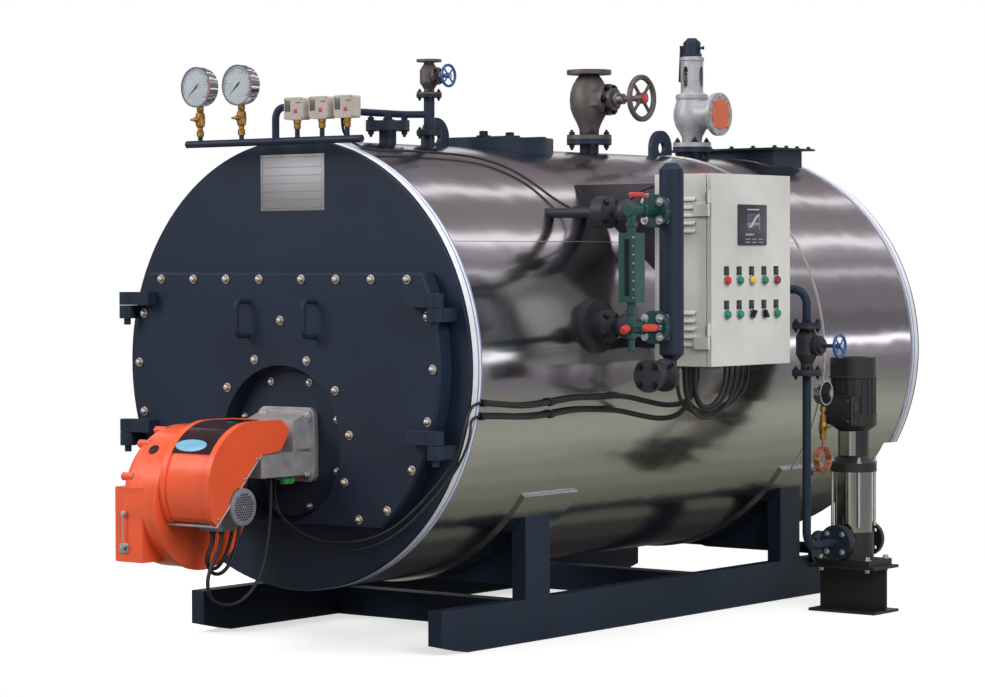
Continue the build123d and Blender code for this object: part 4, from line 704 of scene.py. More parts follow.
place("door_cap_nuts", bm, cap_nut_steel, "door", "bright_sheet")


# Burner head: a die-cast aluminium body on a square flange, held to its plate by four zinc-plated bolts.
# The blast tube behind it is heat-resisting steel.
def cast_metal(name, hue, roughness, metallic):
    """Sand or die casting: a fine even grit and cloudy tone."""
    material, tree = blank_material(name)
    spot = node(tree, "ShaderNodeTexCoord").outputs["Object"]
    grit_size, cloud_size, edge_size = 0.0035, 0.06, 0.003
    grit = node(tree, "ShaderNodeTexNoise", {"Vector": spot, "Scale": 1 / grit_size, "Detail": 3.0})
    cloud = node(tree, "ShaderNodeTexNoise", {"Vector": spot, "Scale": 1 / cloud_size, "Detail": 4.0})
    tinted = toned(tree, hue, cloud.outputs[0], 0.78, 1.18)
    rounded = node(tree, "ShaderNodeBevel", {"Radius": edge_size}, samples=4)
    rough = node(
        tree,
        "ShaderNodeBump",
        {
            "Strength": 0.35,
            "Distance": grit_size / 5,
            "Height": grit.outputs[0],
            "Normal": rounded.outputs[0],
        },
    )
    metal = node(
        tree,
        "ShaderNodeBsdfPrincipled",
        {
            "Base Color": tinted,
            "Roughness": roughness,
            "Metallic": metallic,
            "Normal": rough.outputs[0],
        },
    )
    node(tree, "ShaderNodeOutputMaterial", {"Surface": metal.outputs[0]})
    return material


die_cast = cast_metal("die_cast_aluminium", "#b4b1b4", roughness=0.45, metallic=0.5)
dress(die_cast, "burner_head")
dress(bright_sheet("heat_resisting_steel", "#8f8781", roughness=0.38, around="Y"), "blast_tube")
zinc_plate = worked_metal("zinc_plated_steel", "#d2d5d9", roughness=0.34)


def hex_bolts(bm, spots, axis, across, height):
    """Adds hexagon heads on washers to a mesh."""
    washer, washer_thick, chamfer = across * 0.95, across * 0.16, across * 0.08
    head, top = across * 0.58, washer_thick + height
    disc = [(0, 0), (washer, 0), (washer, washer_thick), (0, washer_thick)]
    hexagon = [(head, washer_thick), (head, top - chamfer), (head - chamfer, top), (0, top)]
    for spot in spots:
        lathe(bm, disc, spot, axis, steps=16)
        lathe(bm, hexagon, spot, axis, steps=6)


def around(centre, axis, radius, count, turn=0.0):
    """Places on a circle about an axis, the first turned on from its start by so many degrees."""
    spin = Vector((0, 0, 1)).rotation_difference(Vector(axis)).to_matrix()
    angles = [radians(turn + 360 * k / count) for k in range(count)]
    return [centre + spin @ Vector((radius * cos(a), radius * sin(a), 0)) for a in angles]


boss_depth, boss_reach = 32, 105
boss_face = (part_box("burner_head")[1].y - front_y) * 1000 - boss_depth
head_bolt, head_bolt_rise = 0.024, 0.013
ends = (-boss_reach, boss_reach)
bm = bmesh.new()
spots = [mark(x, boss_face, burner_z + z) for x in ends for z in ends]
hex_bolts(bm, spots, frontward, head_bolt, head_bolt_rise)
place("head_bolts", bm, zinc_plate, "door", "grey_cast")


# Fan housing and hood: pressed and cast shells in glossy orange enamel. The hood's crown is a smoked acrylic
# window with a pale blue badge on it, a pale seal edges the opening below, and a lever works the air damper.
orange_enamel = enamel("orange_gloss_enamel", "#f3613a", roughness=0.13, rub_hue="#f78e6a", peel=0.02)
dress(orange_enamel, "fan_housing", "burner_hood")
smoked_acrylic = moulded("smoked_acrylic", "#2b1a20", roughness=0.1)
badge_blue = moulded("pale_blue_enamelled_badge", "#74aecb", roughness=0.25)
seal_grey = moulded("pale_grey_seal", "#b9b5ad", roughness=0.5)
grommet_rubber = moulded("black_rubber", "#17171a", roughness=0.6)


def prism(bm, outline, left, right):
    """Adds a shape to a mesh: an outline of (y, z) points in millimetres, drawn out along x."""
    loft(bm, [[mark(x, y, z) for y, z in outline] for x in (left, right)])


def bar(bm, start, end, width, thick, side=(1, 0, 0)):
    """Adds a straight flat bar between two places to a mesh."""
    along = (end - start).normalized()
    across = Vector(side).normalized() * width / 2
    up = along.cross(across).normalized() * thick / 2
    corners = [across + up, up - across, -across - up, across - up]
    loft(bm, [[spot + corner for corner in corners] for spot in (start, end)])


crown_y, crown_z, crown_radius = -345, burner_z - 140, 239
window_half, window_rear, window_angle = 93, -238, 146
window_outer, window_inner = crown_radius - 1.2, crown_radius - 6.8


def crown_spot(radius, angle):
    """A (y, z) place over the hood's crown, at an angle up from level behind it."""
    return crown_y + radius * cos(angle), crown_z + radius * sin(angle)


edges = []
for radius in (window_outer, window_inner):
    bow = [crown_spot(radius, radians(a)) for a in range(90, window_angle + 1, 4)]
    edges.append([(window_rear, crown_z + radius)] + bow)
bm = bmesh.new()
prism(bm, edges[0] + edges[1][::-1], -window_half, window_half)
place("hood_window", bm, smoked_acrylic, "door", "orange_paint")

badge_angle, badge_x, badge_half, badge_half_height, badge_rise, badge_steps = 138.5, -18, 74, 27, 2.4, 40
rings = []
for share, rise in ((1.0, -0.8), (1.0, badge_rise * 0.6), (0.94, badge_rise), (0.4, badge_rise * 1.3)):
    ring = []
    for step in range(badge_steps):
        a = 2 * pi * step / badge_steps
        heading = radians(badge_angle) - badge_half_height * share * sin(a) / window_outer
        x = badge_x + badge_half * share * cos(a)
        ring.append(mark(x, *crown_spot(window_outer + rise, heading)))
    rings.append(ring)
bm = bmesh.new()
loft(bm, rings)
place("hood_badge", bm, badge_blue, "door", "orange_paint")

chin = (-538, burner_z - 266)
knee = (-304, burner_z - 24)
hood_half, seal_inset, seal_width, seal_thick = 120, 3, 0.008, 0.005
bm = bmesh.new()
for x in (-hood_half + seal_inset, hood_half - seal_inset):
    edge = [mark(x, chin[0] - 2, chin[1] + 2), mark(x, knee[0] - 4, knee[1])]
    bar(bm, *edge, width=seal_width, thick=seal_thick)
lip = [mark(x, chin[0] + 2, chin[1] + 2) for x in (-hood_half, hood_half)]
bar(bm, *lip, width=seal_width, thick=seal_thick, side=(0, 1, 0.4))
place("hood_seal", bm, seal_grey, "door", "orange_paint")

plug_x, plug_angle = -212, radians(135)
plug_out = Vector((0, cos(plug_angle), sin(plug_angle)))
plug = [(0, 0), (0.02, 0), (0.02, 0.004), (0.017, 0.007), (0.012, 0.0075), (0.011, 0.005), (0, 0.005)]
scroll_y, scroll_z, scroll_radius = -313, burner_z - 203, 280
bm = bmesh.new()
lathe(bm, plug, mark(plug_x, scroll_y, scroll_z) + plug_out * (scroll_radius - 1) / 1000, plug_out)
place("housing_plug", bm, grommet_rubber, "door", "orange_paint")

ear_circle, ear_right, ear_left, ear_bolt, ear_bolt_rise = scroll_radius - 7.5, -258, -310, 0.014, 0.007
hood_screw = [(0, 0), (0.006, 0), (0.006, 0.002), (0.004, 0.004), (0, 0.0045)]
bm = bmesh.new()
for a in (108, 128, 158):
    y, z = scroll_y + ear_circle * cos(radians(a)), scroll_z + ear_circle * sin(radians(a))
    hex_bolts(bm, [mark(ear_right, y, z)], rightward, ear_bolt, ear_bolt_rise)
    hex_bolts(bm, [mark(ear_left, y, z)], (-1, 0, 0), ear_bolt, ear_bolt_rise)
for y, z in ((-530, chin[1] + 28), (-395, burner_z - 104), (-330, burner_z - 36)):
    lathe(bm, hood_screw, mark(hood_half, y, z), rightward, steps=12)
place("housing_screws", bm, zinc_plate, "door", "grey_cast")

lever_x, lever_y, lever_low, lever_high = -286, -590, 395, 520
rod_x, rod_radius, rod_length, link_bolt, link_bolt_rise = lever_x + 6, 0.0028, 0.122, 0.013, 0.007
rod = [(0, 0), (rod_radius, 0), (rod_radius, rod_length), (0, rod_length)]
arm = [mark(lever_x - 18, lever_y - 9, lever_low - 10), mark(lever_x + 26, lever_y - 9, lever_low + 8)]
pivots = [mark(lever_x, lever_y - 11, lever_low - 2), mark(rod_x, lever_y - 5, lever_high - 4)]
bm = bmesh.new()
foot = [mark(lever_x - 22, lever_y - 3, lever_low - 20), mark(lever_x + 22, lever_y, lever_low + 14)]
slab(bm, *foot, bevel=0.001)
bar(bm, *arm, width=0.011, thick=0.004, side=(0, 1, 0))
lathe(bm, rod, mark(rod_x, lever_y - 12, lever_low), upward, steps=10)
hex_bolts(bm, pivots, frontward, link_bolt, link_bolt_rise)
head = [mark(lever_x - 2, lever_y - 16, lever_high - 12), mark(lever_x + 14, lever_y, lever_high + 4)]
slab(bm, *head, bevel=0.001)
place("damper_linkage", bm, zinc_plate, "door", "grey_cast")


# Burner motor: a grey-painted casting beside the fan, with a perforated sheet cover over its cooling fan.
# Two green terminal blocks for the ignition are fixed low on the burner head beside it.
motor_grey = cast_metal("grey_painted_casting", "#85858b", roughness=0.5, metallic=0.1)
dress(motor_grey, "fan_motor")
# The holes in the cover are shallow near-black discs: painted shade for the dark inside seen through them.
hole_shade = moulded("painted_hole_shade", "#101012", roughness=0.8)
motor_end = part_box("fan_motor")[1].x * 1000
motor_y, motor_z = -405, burner_z - 202
cover = [
    (0, 0.0062), (0.004, 0.0062), (0.0055, 0.0035), (0.053, 0.0035), (0.062, 0.001), (0.0672, -0.006),
    (0.0672, -0.02),
]
bm = bmesh.new()
lathe(bm, cover, mark(motor_end, motor_y, motor_z), rightward, steps=48)
place("motor_cover", bm, motor_grey, "door", "grey_cast")
# Each hole is drawn as a shallow disc in that painted shade.
hole_pitch, hole_radius, hole_depth, hole_reach, hub_reach = 10.2, 0.0037, 0.0006, 50, 5
hole = [(hole_radius, 0), (hole_radius, hole_depth), (0, hole_depth)]
hole_face = motor_end + 3.3
bm = bmesh.new()
for row in range(-5, 6):
    for column in range(-8, 9):
        y, z = (column + row / 2) * hole_pitch, row * hole_pitch * sin(radians(60))
        if hub_reach < (y * y + z * z) ** 0.5 < hole_reach:
            lathe(bm, hole, mark(hole_face, motor_y + y, motor_z + z), rightward, steps=10)
place("motor_cover_holes", bm, hole_shade, "door", "grey_cast")
terminal_green = moulded("green_terminal_block", "#3fa25c", roughness=0.4)
terminal_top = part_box("burner_head")[0].z * 1000 + 27
terminal_left, terminal_right, terminal_tip = 66, 92, 97
bm = bmesh.new()
for y in (-150, -122):
    block = [mark(terminal_left, y, terminal_top - 30), mark(terminal_right, y + 20, terminal_top)]
    slab(bm, *block, bevel=0.002)
    clamp = [mark(terminal_right, y + 3, terminal_top - 24), mark(terminal_tip, y + 17, terminal_top - 8)]
    slab(bm, *clamp, bevel=0.001)
place("ignition_terminals", bm, terminal_green, "door", "grey_cast")


# Instrument pipe: navy-painted pipe over the front, with two dial gauges on brass cocks and three
# pressure switches in beige housings, each on its own stub.
dress(navy_enamel, "manifold")
chromed_steel = worked_metal("chromed_steel", "#c4c4c8", roughness=0.14, mottle=0.04)
dress(chromed_steel, "pressure_gauges")
turned_brass = worked_metal("turned_brass", "#b48a4a", roughness=0.3)
dial_enamel = moulded("white_dial_enamel", "#dde6ea", roughness=0.35)
dial_black = moulded("black_dial_print", "#22252a", roughness=0.5)
dial_blue = moulded("blue_dial_print", "#7fb0d0", roughness=0.5)
dial_red = moulded("red_dial_print", "#d0564c", roughness=0.5)


def thin_glass():
    """Flat gauge glass: clear, with a sharp surface reflection."""
    material, tree = blank_material("clear_gauge_glass")
    clear = node(tree, "ShaderNodeBsdfTransparent")
    mirror = node(tree, "ShaderNodeBsdfGlossy", {"Color": colour("#ffffff"), "Roughness": 0.03})
    edge = node(tree, "ShaderNodeFresnel", {"IOR": 1.3})
    mixed = node(
        tree, "ShaderNodeMixShader", {0: edge.outputs[0], 1: clear.outputs[0], 2: mirror.outputs[0]},
    )
    node(tree, "ShaderNodeOutputMaterial", {"Surface": mixed.outputs[0]})
    return material


clear_glass = thin_glass()


def dial(name, centre, facing, radius, needle_angle):
    """A printed dial: white face, a ring of ticks, blue and red working bands and a black needle."""
    out = Vector(facing)
    up = Vector((0, 0, 1))
    right = up.cross(out)

    def at(angle, share, lift):
        a = radians(angle)
        return centre + (right * cos(a) + up * sin(a)) * (radius * share) + out * lift

    face_lift, print_lift, needle_lift, print_thick = 0.0006, 0.0009, 0.0016, 0.0002
    bm = bmesh.new()
    lathe(bm, [(0, face_lift), (radius, face_lift), (radius, 0), (0, 0)], centre, facing, steps=48)
    place(f"{name}_face", bm, dial_enamel, "boiler", "gauge_case")
    bm = bmesh.new()
    first, last, ticks = 225, -45, 25
    tick_rim, tick_floor, long_tick_floor, band_rim, band_floor = 0.86, 0.79, 0.72, 0.95, 0.89
    for tick in range(ticks + 1):
        a = first + (last - first) * tick / ticks
        major = tick % 5 == 0
        half = 0.9 if major else 0.45
        floor_share = long_tick_floor if major else tick_floor
        spots = [at(a - half, tick_rim, print_lift), at(a + half, tick_rim, print_lift)]
        spots += [at(a + half, floor_share, print_lift), at(a - half, floor_share, print_lift)]
        bm.faces.new([bm.verts.new(spot) for spot in spots])
    needle = ((0, 0.76), (100, 0.055), (176, 0.26), (184, 0.26), (260, 0.055))
    tip = [at(needle_angle + turn, share, needle_lift) for turn, share in needle]
    bm.faces.new([bm.verts.new(spot) for spot in tip])
    bm.normal_update()
    bmesh.ops.solidify(bm, geom=bm.faces[:], thickness=print_thick)
    lathe(bm, [(radius * 0.07, 0), (radius * 0.07, 0.002), (0, 0.0024)], centre, facing, steps=16)
    place(f"{name}_marks", bm, dial_black, "boiler", "gauge_case")
    for band, ink, low, high in (("blue", dial_blue, 200, 40), ("red", dial_red, 25, -40)):
        bm = bmesh.new()
        steps = 24
        angles = [low + (high - low) * step / steps for step in range(steps + 1)]
        rows = [[bm.verts.new(at(a, share, print_lift)) for share in (band_rim, band_floor)] for a in angles]
        for row, follow in zip(rows, rows[1:]):
            bm.faces.new((row[0], row[1], follow[1], follow[0]))
        bm.normal_update()
        bmesh.ops.solidify(bm, geom=bm.faces[:], thickness=print_thick)
        place(f"{name}_{band}_band", bm, ink, "boiler", "gauge_case")
    bm = bmesh.new()
    lathe(bm, [(radius, 0.0026), (radius * 0.5, 0.0034), (0, 0.0038)], centre, facing, steps=48)
    place(f"{name}_glass", bm, clear_glass, "boiler", "gauge_case")


gauge_low, gauge_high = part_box("pressure_gauges")
dial_depth = 3
gauge_face = (gauge_low.y - front_y) * 1000 + dial_depth
gauge_z = (gauge_low.z + gauge_high.z) * 500
gauge_places = (-375, -168)
pipe_y, pipe_z = -90, axis_height + 815
gauge_radius, reading = 0.0685, 222
for number, x in enumerate(gauge_places):
    dial(f"gauge_{number}", mark(x, gauge_face, gauge_z), frontward, gauge_radius, reading)
cock_body = [
    (0.0095, 0.028), (0.014, 0.028), (0.014, 0.046), (0.0105, 0.05), (0.0105, 0.06), (0.0165, 0.066),
    (0.0185, 0.08), (0.0185, 0.1), (0.0165, 0.114), (0.011, 0.118), (0.0135, 0.122), (0.0135, 0.136),
]
cock_plug = [(0, 0), (0.009, 0), (0.009, 0.03), (0.006, 0.034), (0, 0.034)]
cock_key = [(0, -0.021), (0.0045, -0.02), (0.006, 0), (0.0045, 0.02), (0, 0.021)]
cock_rise, key_out = 90, 30
bm = bmesh.new()
for x in gauge_places:
    lathe(bm, cock_body, mark(x, pipe_y, pipe_z), upward, steps=16)
    lathe(bm, cock_plug, mark(x, pipe_y, pipe_z + cock_rise), frontward, steps=12)
    lathe(bm, cock_key, mark(x, pipe_y - key_out, pipe_z + cock_rise), rightward, steps=10)
place("gauge_cocks_brass", bm, turned_brass, "boiler", "gauge_case")

switch_beige = moulded("beige_switch_housing", "#b8aea3", roughness=0.45)
dress(switch_beige, "pressure_switches")
window_grey = moulded("grey_scale_window", "#5b5c60", roughness=0.25)
mark_red = moulded("red_adjuster", "#b5483f", roughness=0.45)
switch_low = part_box("pressure_switches")[0]
face, foot = (switch_low.y - front_y) * 1000, switch_low.z * 1000
switch_first, switch_pitch, switch_count = 105, 118.5, 3
scale_lines, scale_pitch = 6, 5.6
corner_screw = [(0.003, 0), (0.003, 0.001), (0, 0.0016)]
stub_nut = [
    (0.0095, -0.032), (0.013, -0.032), (0.013, -0.016), (0.011, -0.013), (0.0145, -0.012), (0.0145, 0),
]
windows, reds, fittings = bmesh.new(), bmesh.new(), bmesh.new()
for number in range(switch_count):
    x = switch_first + switch_pitch * number
    slab(windows, mark(x - 39, face - 1, foot + 30), mark(x - 14, face, foot + 70), bevel=0.0005)
    for line in range(scale_lines):
        z = foot + 36 + line * scale_pitch
        slab(fittings, mark(x - 30, face - 1.4, z), mark(x - 23, face - 1, z + 1.4))
    slab(windows, mark(x + 14, face - 1, foot + 60), mark(x + 36, face, foot + 63))
    slab(reds, mark(x + 4, face - 1.5, foot + 24), mark(x + 19, face, foot + 39), bevel=0.0006)
    for dx, dz in ((-40, 6), (40, 6), (-40, 74), (40, 74)):
        lathe(fittings, corner_screw, mark(x + dx, face, foot + dz), frontward, steps=10)
    lathe(fittings, stub_nut, mark(x, pipe_y, foot), upward, steps=6)
place("switch_windows", windows, window_grey, "boiler", "switch_case")
place("switch_adjusters", reds, mark_red, "boiler", "switch_case")
place("switch_nuts", fittings, turned_brass, "boiler", "switch_case")


# Top of the drum: welded nozzles, lifting lugs, manhole and smoke outlet in navy enamel. Blacked studs go
# through their flanges, and the dark edge of a graphite gasket shows in each joint.
dress(navy_enamel, "spare_nozzle", "front_lug", "rear_lug", "manhole_collar", "manhole_cover", "flue_box")
black_bolt = worked_metal("blacked_steel_bolt", "#3a3a40", roughness=0.45)


def flange_studs(bm, centre, axis, circle, count, grip, across, turn=45.0):
    """Adds studs through a flange pair to a mesh, a nut on each side, with the bolt ends showing."""
    out = Vector(axis)
    shank, point, length = across * 0.3, across * 0.22, across * 1.15
    stud = [(shank, 0), (shank, across * 1.05), (point, length), (0, length)]
    for sense, start in ((1, centre), (-1, centre - out * grip)):
        spots = around(start, axis, circle, count, turn)
        hex_bolts(bm, spots, out * sense, across, across * 0.55)
        for spot in spots:
            lathe(bm, stud, spot, out * sense, steps=10)


shell_top = axis_height + shell_radius * 1000
spare_x, spare_y, spare_joint, spare_thick = 50, 484, shell_top + 65, 18
vent_x, vent_y, vent_foot, vent_joint, vent_thick = 75, 702, shell_top + 45, shell_top + 190, 9.6
manhole_y, manhole_reach, manhole_top = 1220, 85, shell_top + 46
steam_y, steam_joint = 1845, shell_top + 55
safety_y, safety_joint = 2604, shell_top + 45
bm = bmesh.new()
flange_studs(
    bm, mark(spare_x, spare_y, spare_joint + spare_thick), upward, circle=0.0635, count=4, grip=0.036,
    across=0.021,
)
for joint in (vent_foot, vent_joint):
    flange_studs(
        bm, mark(vent_x, vent_y, joint + vent_thick), upward, circle=0.0365, count=4, grip=0.0192,
        across=0.012,
    )
for y in (manhole_y - manhole_reach, manhole_y + manhole_reach):
    hex_bolts(bm, [mark(0, y, manhole_top)], upward, across=0.03, height=0.018)
low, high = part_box("flue_box")
rim_inset, rim_bolt, rim_bolt_rise, rim_count = 0.021, 0.014, 0.008, 6
left, right, near, far = low.x + rim_inset, high.x - rim_inset, low.y + rim_inset, high.y - rim_inset
spots = []
for step in range(rim_count):
    x = left + (right - left) * step / (rim_count - 1)
    spots += [Vector((x, y, high.z)) for y in (near, far)]
for share in (0.36, 0.64):
    spots += [Vector((x, low.y + (high.y - low.y) * share, high.z)) for x in (left, right)]
hex_bolts(bm, spots, upward, rim_bolt, rim_bolt_rise)
place("top_studs", bm, black_bolt, "boiler", "navy_paint")


def painted_nozzle(bm, spot, neck, flange, thick, foot):
    """Adds the coat of paint on a nozzle to a mesh: neck and flange up to the joint at its top."""
    skin, rise = 0.0006, 0.0008
    profile = [
        (neck + skin, -foot), (neck + skin, -thick - skin), (flange + skin, -thick - skin),
        (flange + skin, -rise), (neck, -rise),
    ]
    lathe(bm, profile, spot, upward, steps=40)


bm = bmesh.new()
painted_nozzle(bm, mark(0, steam_y, steam_joint), neck=0.0389, flange=0.0925, thick=0.0185, foot=0.075)
painted_nozzle(bm, mark(0, safety_y, safety_joint), neck=0.042, flange=0.083, thick=0.02, foot=0.065)
for joint, drop in ((vent_foot, 0.065), (vent_joint, 0.13)):
    painted_nozzle(bm, mark(vent_x, vent_y, joint), neck=0.0202, flange=0.048, thick=0.0096, foot=drop)
mating_flange = [(0.0208, 0), (0.0486, 0), (0.0486, 0.009), (0.0208, 0.0102)]
lathe(bm, mating_flange, mark(vent_x, vent_y, vent_foot + 0.8), upward, steps=40)
place("painted_nozzles", bm, navy_enamel, "boiler", "navy_paint")

gasket = moulded("graphite_gasket", "#141416", roughness=0.7)
gasket_half, gasket_stand, gasket_bite = 0.0014, 0.0008, 0.002
bm = bmesh.new()
for x, y, joint, radius in (
    (spare_x, spare_y, spare_joint, 0.0825),
    (vent_x, vent_y, vent_foot, 0.0488),
    (vent_x, vent_y, vent_joint, 0.0488),
    (0, steam_y, steam_joint, 0.0932),
    (0, safety_y, safety_joint, 0.0838),
):
    bore, rim = radius - gasket_bite, radius + gasket_stand
    ring = [(bore, -gasket_half), (rim, -gasket_half), (rim, gasket_half), (bore, gasket_half)]
    lathe(bm, ring, mark(x, y, joint), upward, steps=40)
place("top_gaskets", bm, gasket, "boiler", "navy_paint")


# Main steam valve and vent valve: grey iron castings with flanged ends and turned stems. The steam wheel
# is bare iron with a red nut, the vent wheel is enamelled blue.
cast_iron = cast_metal("oiled_cast_iron", "#5f5857", roughness=0.5, metallic=0.4)
dress(cast_iron, "vent_valve", "steam_valve", "steam_wheel")
blue_enamel = enamel("blue_gloss_enamel", "#22518f", roughness=0.3, rub_hue="#5d83b5")
red_enamel = enamel("red_gloss_enamel", "#c23a30", roughness=0.3, rub_hue="#d8736c")
dress(blue_enamel, "vent_wheel")
steam_thick, steam_stem_z, bonnet_x, steam_gland_x, steam_wheel_x = 18, steam_joint + 163, 106.5, 132, 273
vent_stem_z, vent_bonnet_x, vent_gland_x, vent_wheel_x = shell_top + 260, vent_x + 36 + vent_thick, 120, 175
steam_foot = mark(0, steam_y, steam_joint + steam_thick)
bm = bmesh.new()
flange_studs(bm, steam_foot, upward, circle=0.0725, count=4, grip=0.0365, across=0.021)
bonnet = mark(bonnet_x, steam_y, steam_stem_z)
spots = around(bonnet, rightward, radius=0.053, count=6, turn=30)
hex_bolts(bm, spots, rightward, across=0.017, height=0.011)
vent_bonnet = mark(vent_bonnet_x, vent_y, vent_stem_z)
spots = around(vent_bonnet, rightward, radius=0.0275, count=4, turn=45)
hex_bolts(bm, spots, rightward, across=0.009, height=0.006)
place("valve_studs", bm, black_bolt, "boiler", "cast_iron")
steam_nut = [(0.024, -0.01), (0.026, 0), (0.024, 0.007), (0.016, 0.012), (0, 0.013)]
bm = bmesh.new()
lathe(bm, steam_nut, mark(steam_wheel_x, steam_y, steam_stem_z), rightward, steps=6)
place("steam_wheel_nut", bm, red_enamel, "steam_handwheel", "cast_iron")
vent_nut = [(0.009, 0), (0.009, 0.006), (0, 0.008)]
bm = bmesh.new()
lathe(bm, vent_nut, mark(vent_wheel_x, vent_y, vent_stem_z), rightward, steps=6)
place("vent_wheel_nut", bm, zinc_plate, "vent_handwheel", "wheel_blue")
gland_steel = worked_metal("turned_steel_stem", "#8d8885", roughness=0.35)
steam_gland = [(0.03, 0), (0.03, 0.012), (0.022, 0.02), (0.022, 0.045), (0.014, 0.05)]
vent_gland = [(0.014, 0), (0.014, 0.01), (0.009, 0.014), (0.009, 0.03)]
bm = bmesh.new()
lathe(bm, steam_gland, mark(steam_gland_x, steam_y, steam_stem_z), rightward, steps=20)
lathe(bm, vent_gland, mark(vent_gland_x, vent_y, vent_stem_z), rightward, steps=16)
place("valve_glands", bm, gland_steel, "boiler", "cast_iron")
barrel = [
    (0.0395, 0.0185), (0.042, 0.045), (0.053, 0.072), (0.068, 0.1), (0.078, 0.13), (0.081, 0.163),
    (0.078, 0.196), (0.069, 0.224), (0.055, 0.25), (0.045, 0.262), (0.0395, 0.2695),
]
neck = [(0.07, 0.045), (0.064, 0.07), (0.064, 0.088), (0.0645, 0.0885)]
bm = bmesh.new()
lathe(bm, barrel, mark(0, steam_y, steam_joint), upward, steps=40)
lathe(bm, neck, mark(0, steam_y, steam_stem_z), rightward, steps=8)
place("steam_valve_barrel", bm, cast_iron, "boiler", "cast_iron")


# Safety valve: a casting in aluminium paint with an open spring bonnet. Its cap and lifting lever are navy,
# and an orange card closes the outlet flange.
silver_paint = cast_metal("aluminium_paint_on_casting", "#a8a8ad", roughness=0.42, metallic=0.25)
dress(silver_paint, "safety_valve")
dress(navy_enamel, "safety_cap")
outlet_x, outlet_z, safety_thick, collar_z = 147, shell_top + 185, 20, shell_top + 418
outlet = mark(outlet_x, safety_y, outlet_z)
safety_foot = mark(0, safety_y, safety_joint + safety_thick)
bm = bmesh.new()
flange_studs(bm, safety_foot, upward, circle=0.064, count=4, grip=0.04, across=0.019)
place("safety_studs", bm, black_bolt, "boiler", "valve_silver")
spring_bottom, spring_turns, spring_pitch = shell_top + 268, 9, 16
coil = [(0.03, 0), (0.035, 0.0035), (0.035, 0.0065), (0.03, 0.01)]
bm = bmesh.new()
hex_bolts(bm, around(outlet, rightward, radius=0.08, count=8), rightward, across=0.011, height=0.004)
for number in range(spring_turns):
    lathe(bm, coil, mark(0, safety_y, spring_bottom + number * spring_pitch), upward, steps=24)
place("safety_spring_and_nuts", bm, zinc_plate, "boiler", "valve_silver")
orange_card = enamel("orange_sealing_card", "#cf6a48", roughness=0.5, rub_hue="#d98768")
disc = [(0.064, 0), (0.066, 0.001), (0.064, 0.004), (0.03, 0.0055), (0, 0.006)]
tab = [(0.011, 0), (0.011, 0.003), (0.008, 0.006), (0, 0.007)]
bm = bmesh.new()
lathe(bm, disc, outlet, rightward, steps=40)
for spot in around(outlet, rightward, radius=0.068, count=4, turn=45):
    lathe(bm, tab, spot, rightward, steps=14)
place("outlet_cover", bm, orange_card, "boiler", "valve_silver")
globe = [
    (0.0425, 0.021), (0.045, 0.045), (0.057, 0.068), (0.071, 0.092), (0.079, 0.12), (0.081, 0.14),
    (0.078, 0.167), (0.07, 0.193), (0.067, 0.205), (0.071, 0.211), (0.071, 0.226), (0.052, 0.236),
]
branch = [(0.07, 0.03), (0.062, 0.075), (0.06, 0.12), (0.066, 0.128)]
collar = [(0.0472, 0), (0.053, 0.003), (0.053, 0.016), (0.04, 0.02)]
bm = bmesh.new()
lathe(bm, globe, mark(0, safety_y, safety_joint), upward, steps=40)
lathe(bm, branch, mark(0, safety_y, outlet_z), rightward, steps=40)
lathe(bm, collar, mark(0, safety_y, collar_z), upward, steps=32)
sleeve_radius, sleeve_thick = 0.0478, 0.0022
sleeve_middle, sleeve_half = shell_top + 348, 0.074
opening_half, opening_height, steps = 0.3, 0.046, 40
sleeve_outer = sleeve_radius + sleeve_thick
for quarter in range(4):
    rows = []
    for step in range(steps):
        a = 2 * pi * step / steps
        reach = max(abs(cos(a)), abs(sin(a)))
        square = (pi / 4 * cos(a) / reach, sleeve_half * sin(a) / reach)
        oval = (opening_half * cos(a), opening_height * sin(a))
        row = []
        for radius, (swing, height) in (
            (sleeve_radius, square), (sleeve_outer, square), (sleeve_outer, oval), (sleeve_radius, oval),
        ):
            heading = quarter * pi / 2 + swing
            out = Vector((cos(heading) * radius, sin(heading) * radius, height))
            row.append(mark(0, safety_y, sleeve_middle) + out)
        rows.append(row)
    loft(bm, rows, whole=True)
bmesh.ops.remove_doubles(bm, verts=bm.verts, dist=1e-6)
place("safety_casting", bm, silver_paint, "boiler", "valve_silver")
lever_width, lever_foot, lever_head, fork_z = 0.026, shell_top + 330, shell_top + 486, shell_top + 482
clamp_z, pin_x, pin_z = shell_top + 437, 34, shell_top + 474
clamp = [(0.039, 0), (0.043, 0.003), (0.043, 0.012), (0.039, 0.015)]
seal_pin = [(0.005, 0), (0.005, 0.02), (0.008, 0.02), (0.008, 0.026), (0, 0.027)]
bm = bmesh.new()
lever = [mark(-58, safety_y, lever_foot), mark(-50, safety_y, lever_head)]
fork = [mark(-56, safety_y, fork_z), mark(-28, safety_y, fork_z)]
bar(bm, *lever, width=lever_width, thick=0.009, side=(0, 1, 0))
bar(bm, *fork, width=lever_width, thick=0.01, side=(0, 1, 0))
lathe(bm, clamp, mark(0, safety_y, clamp_z), upward, steps=6)
lathe(bm, seal_pin, mark(pin_x, safety_y, pin_z), rightward, steps=10)
place("lifting_lever", bm, navy_enamel, "boiler", "navy_paint")


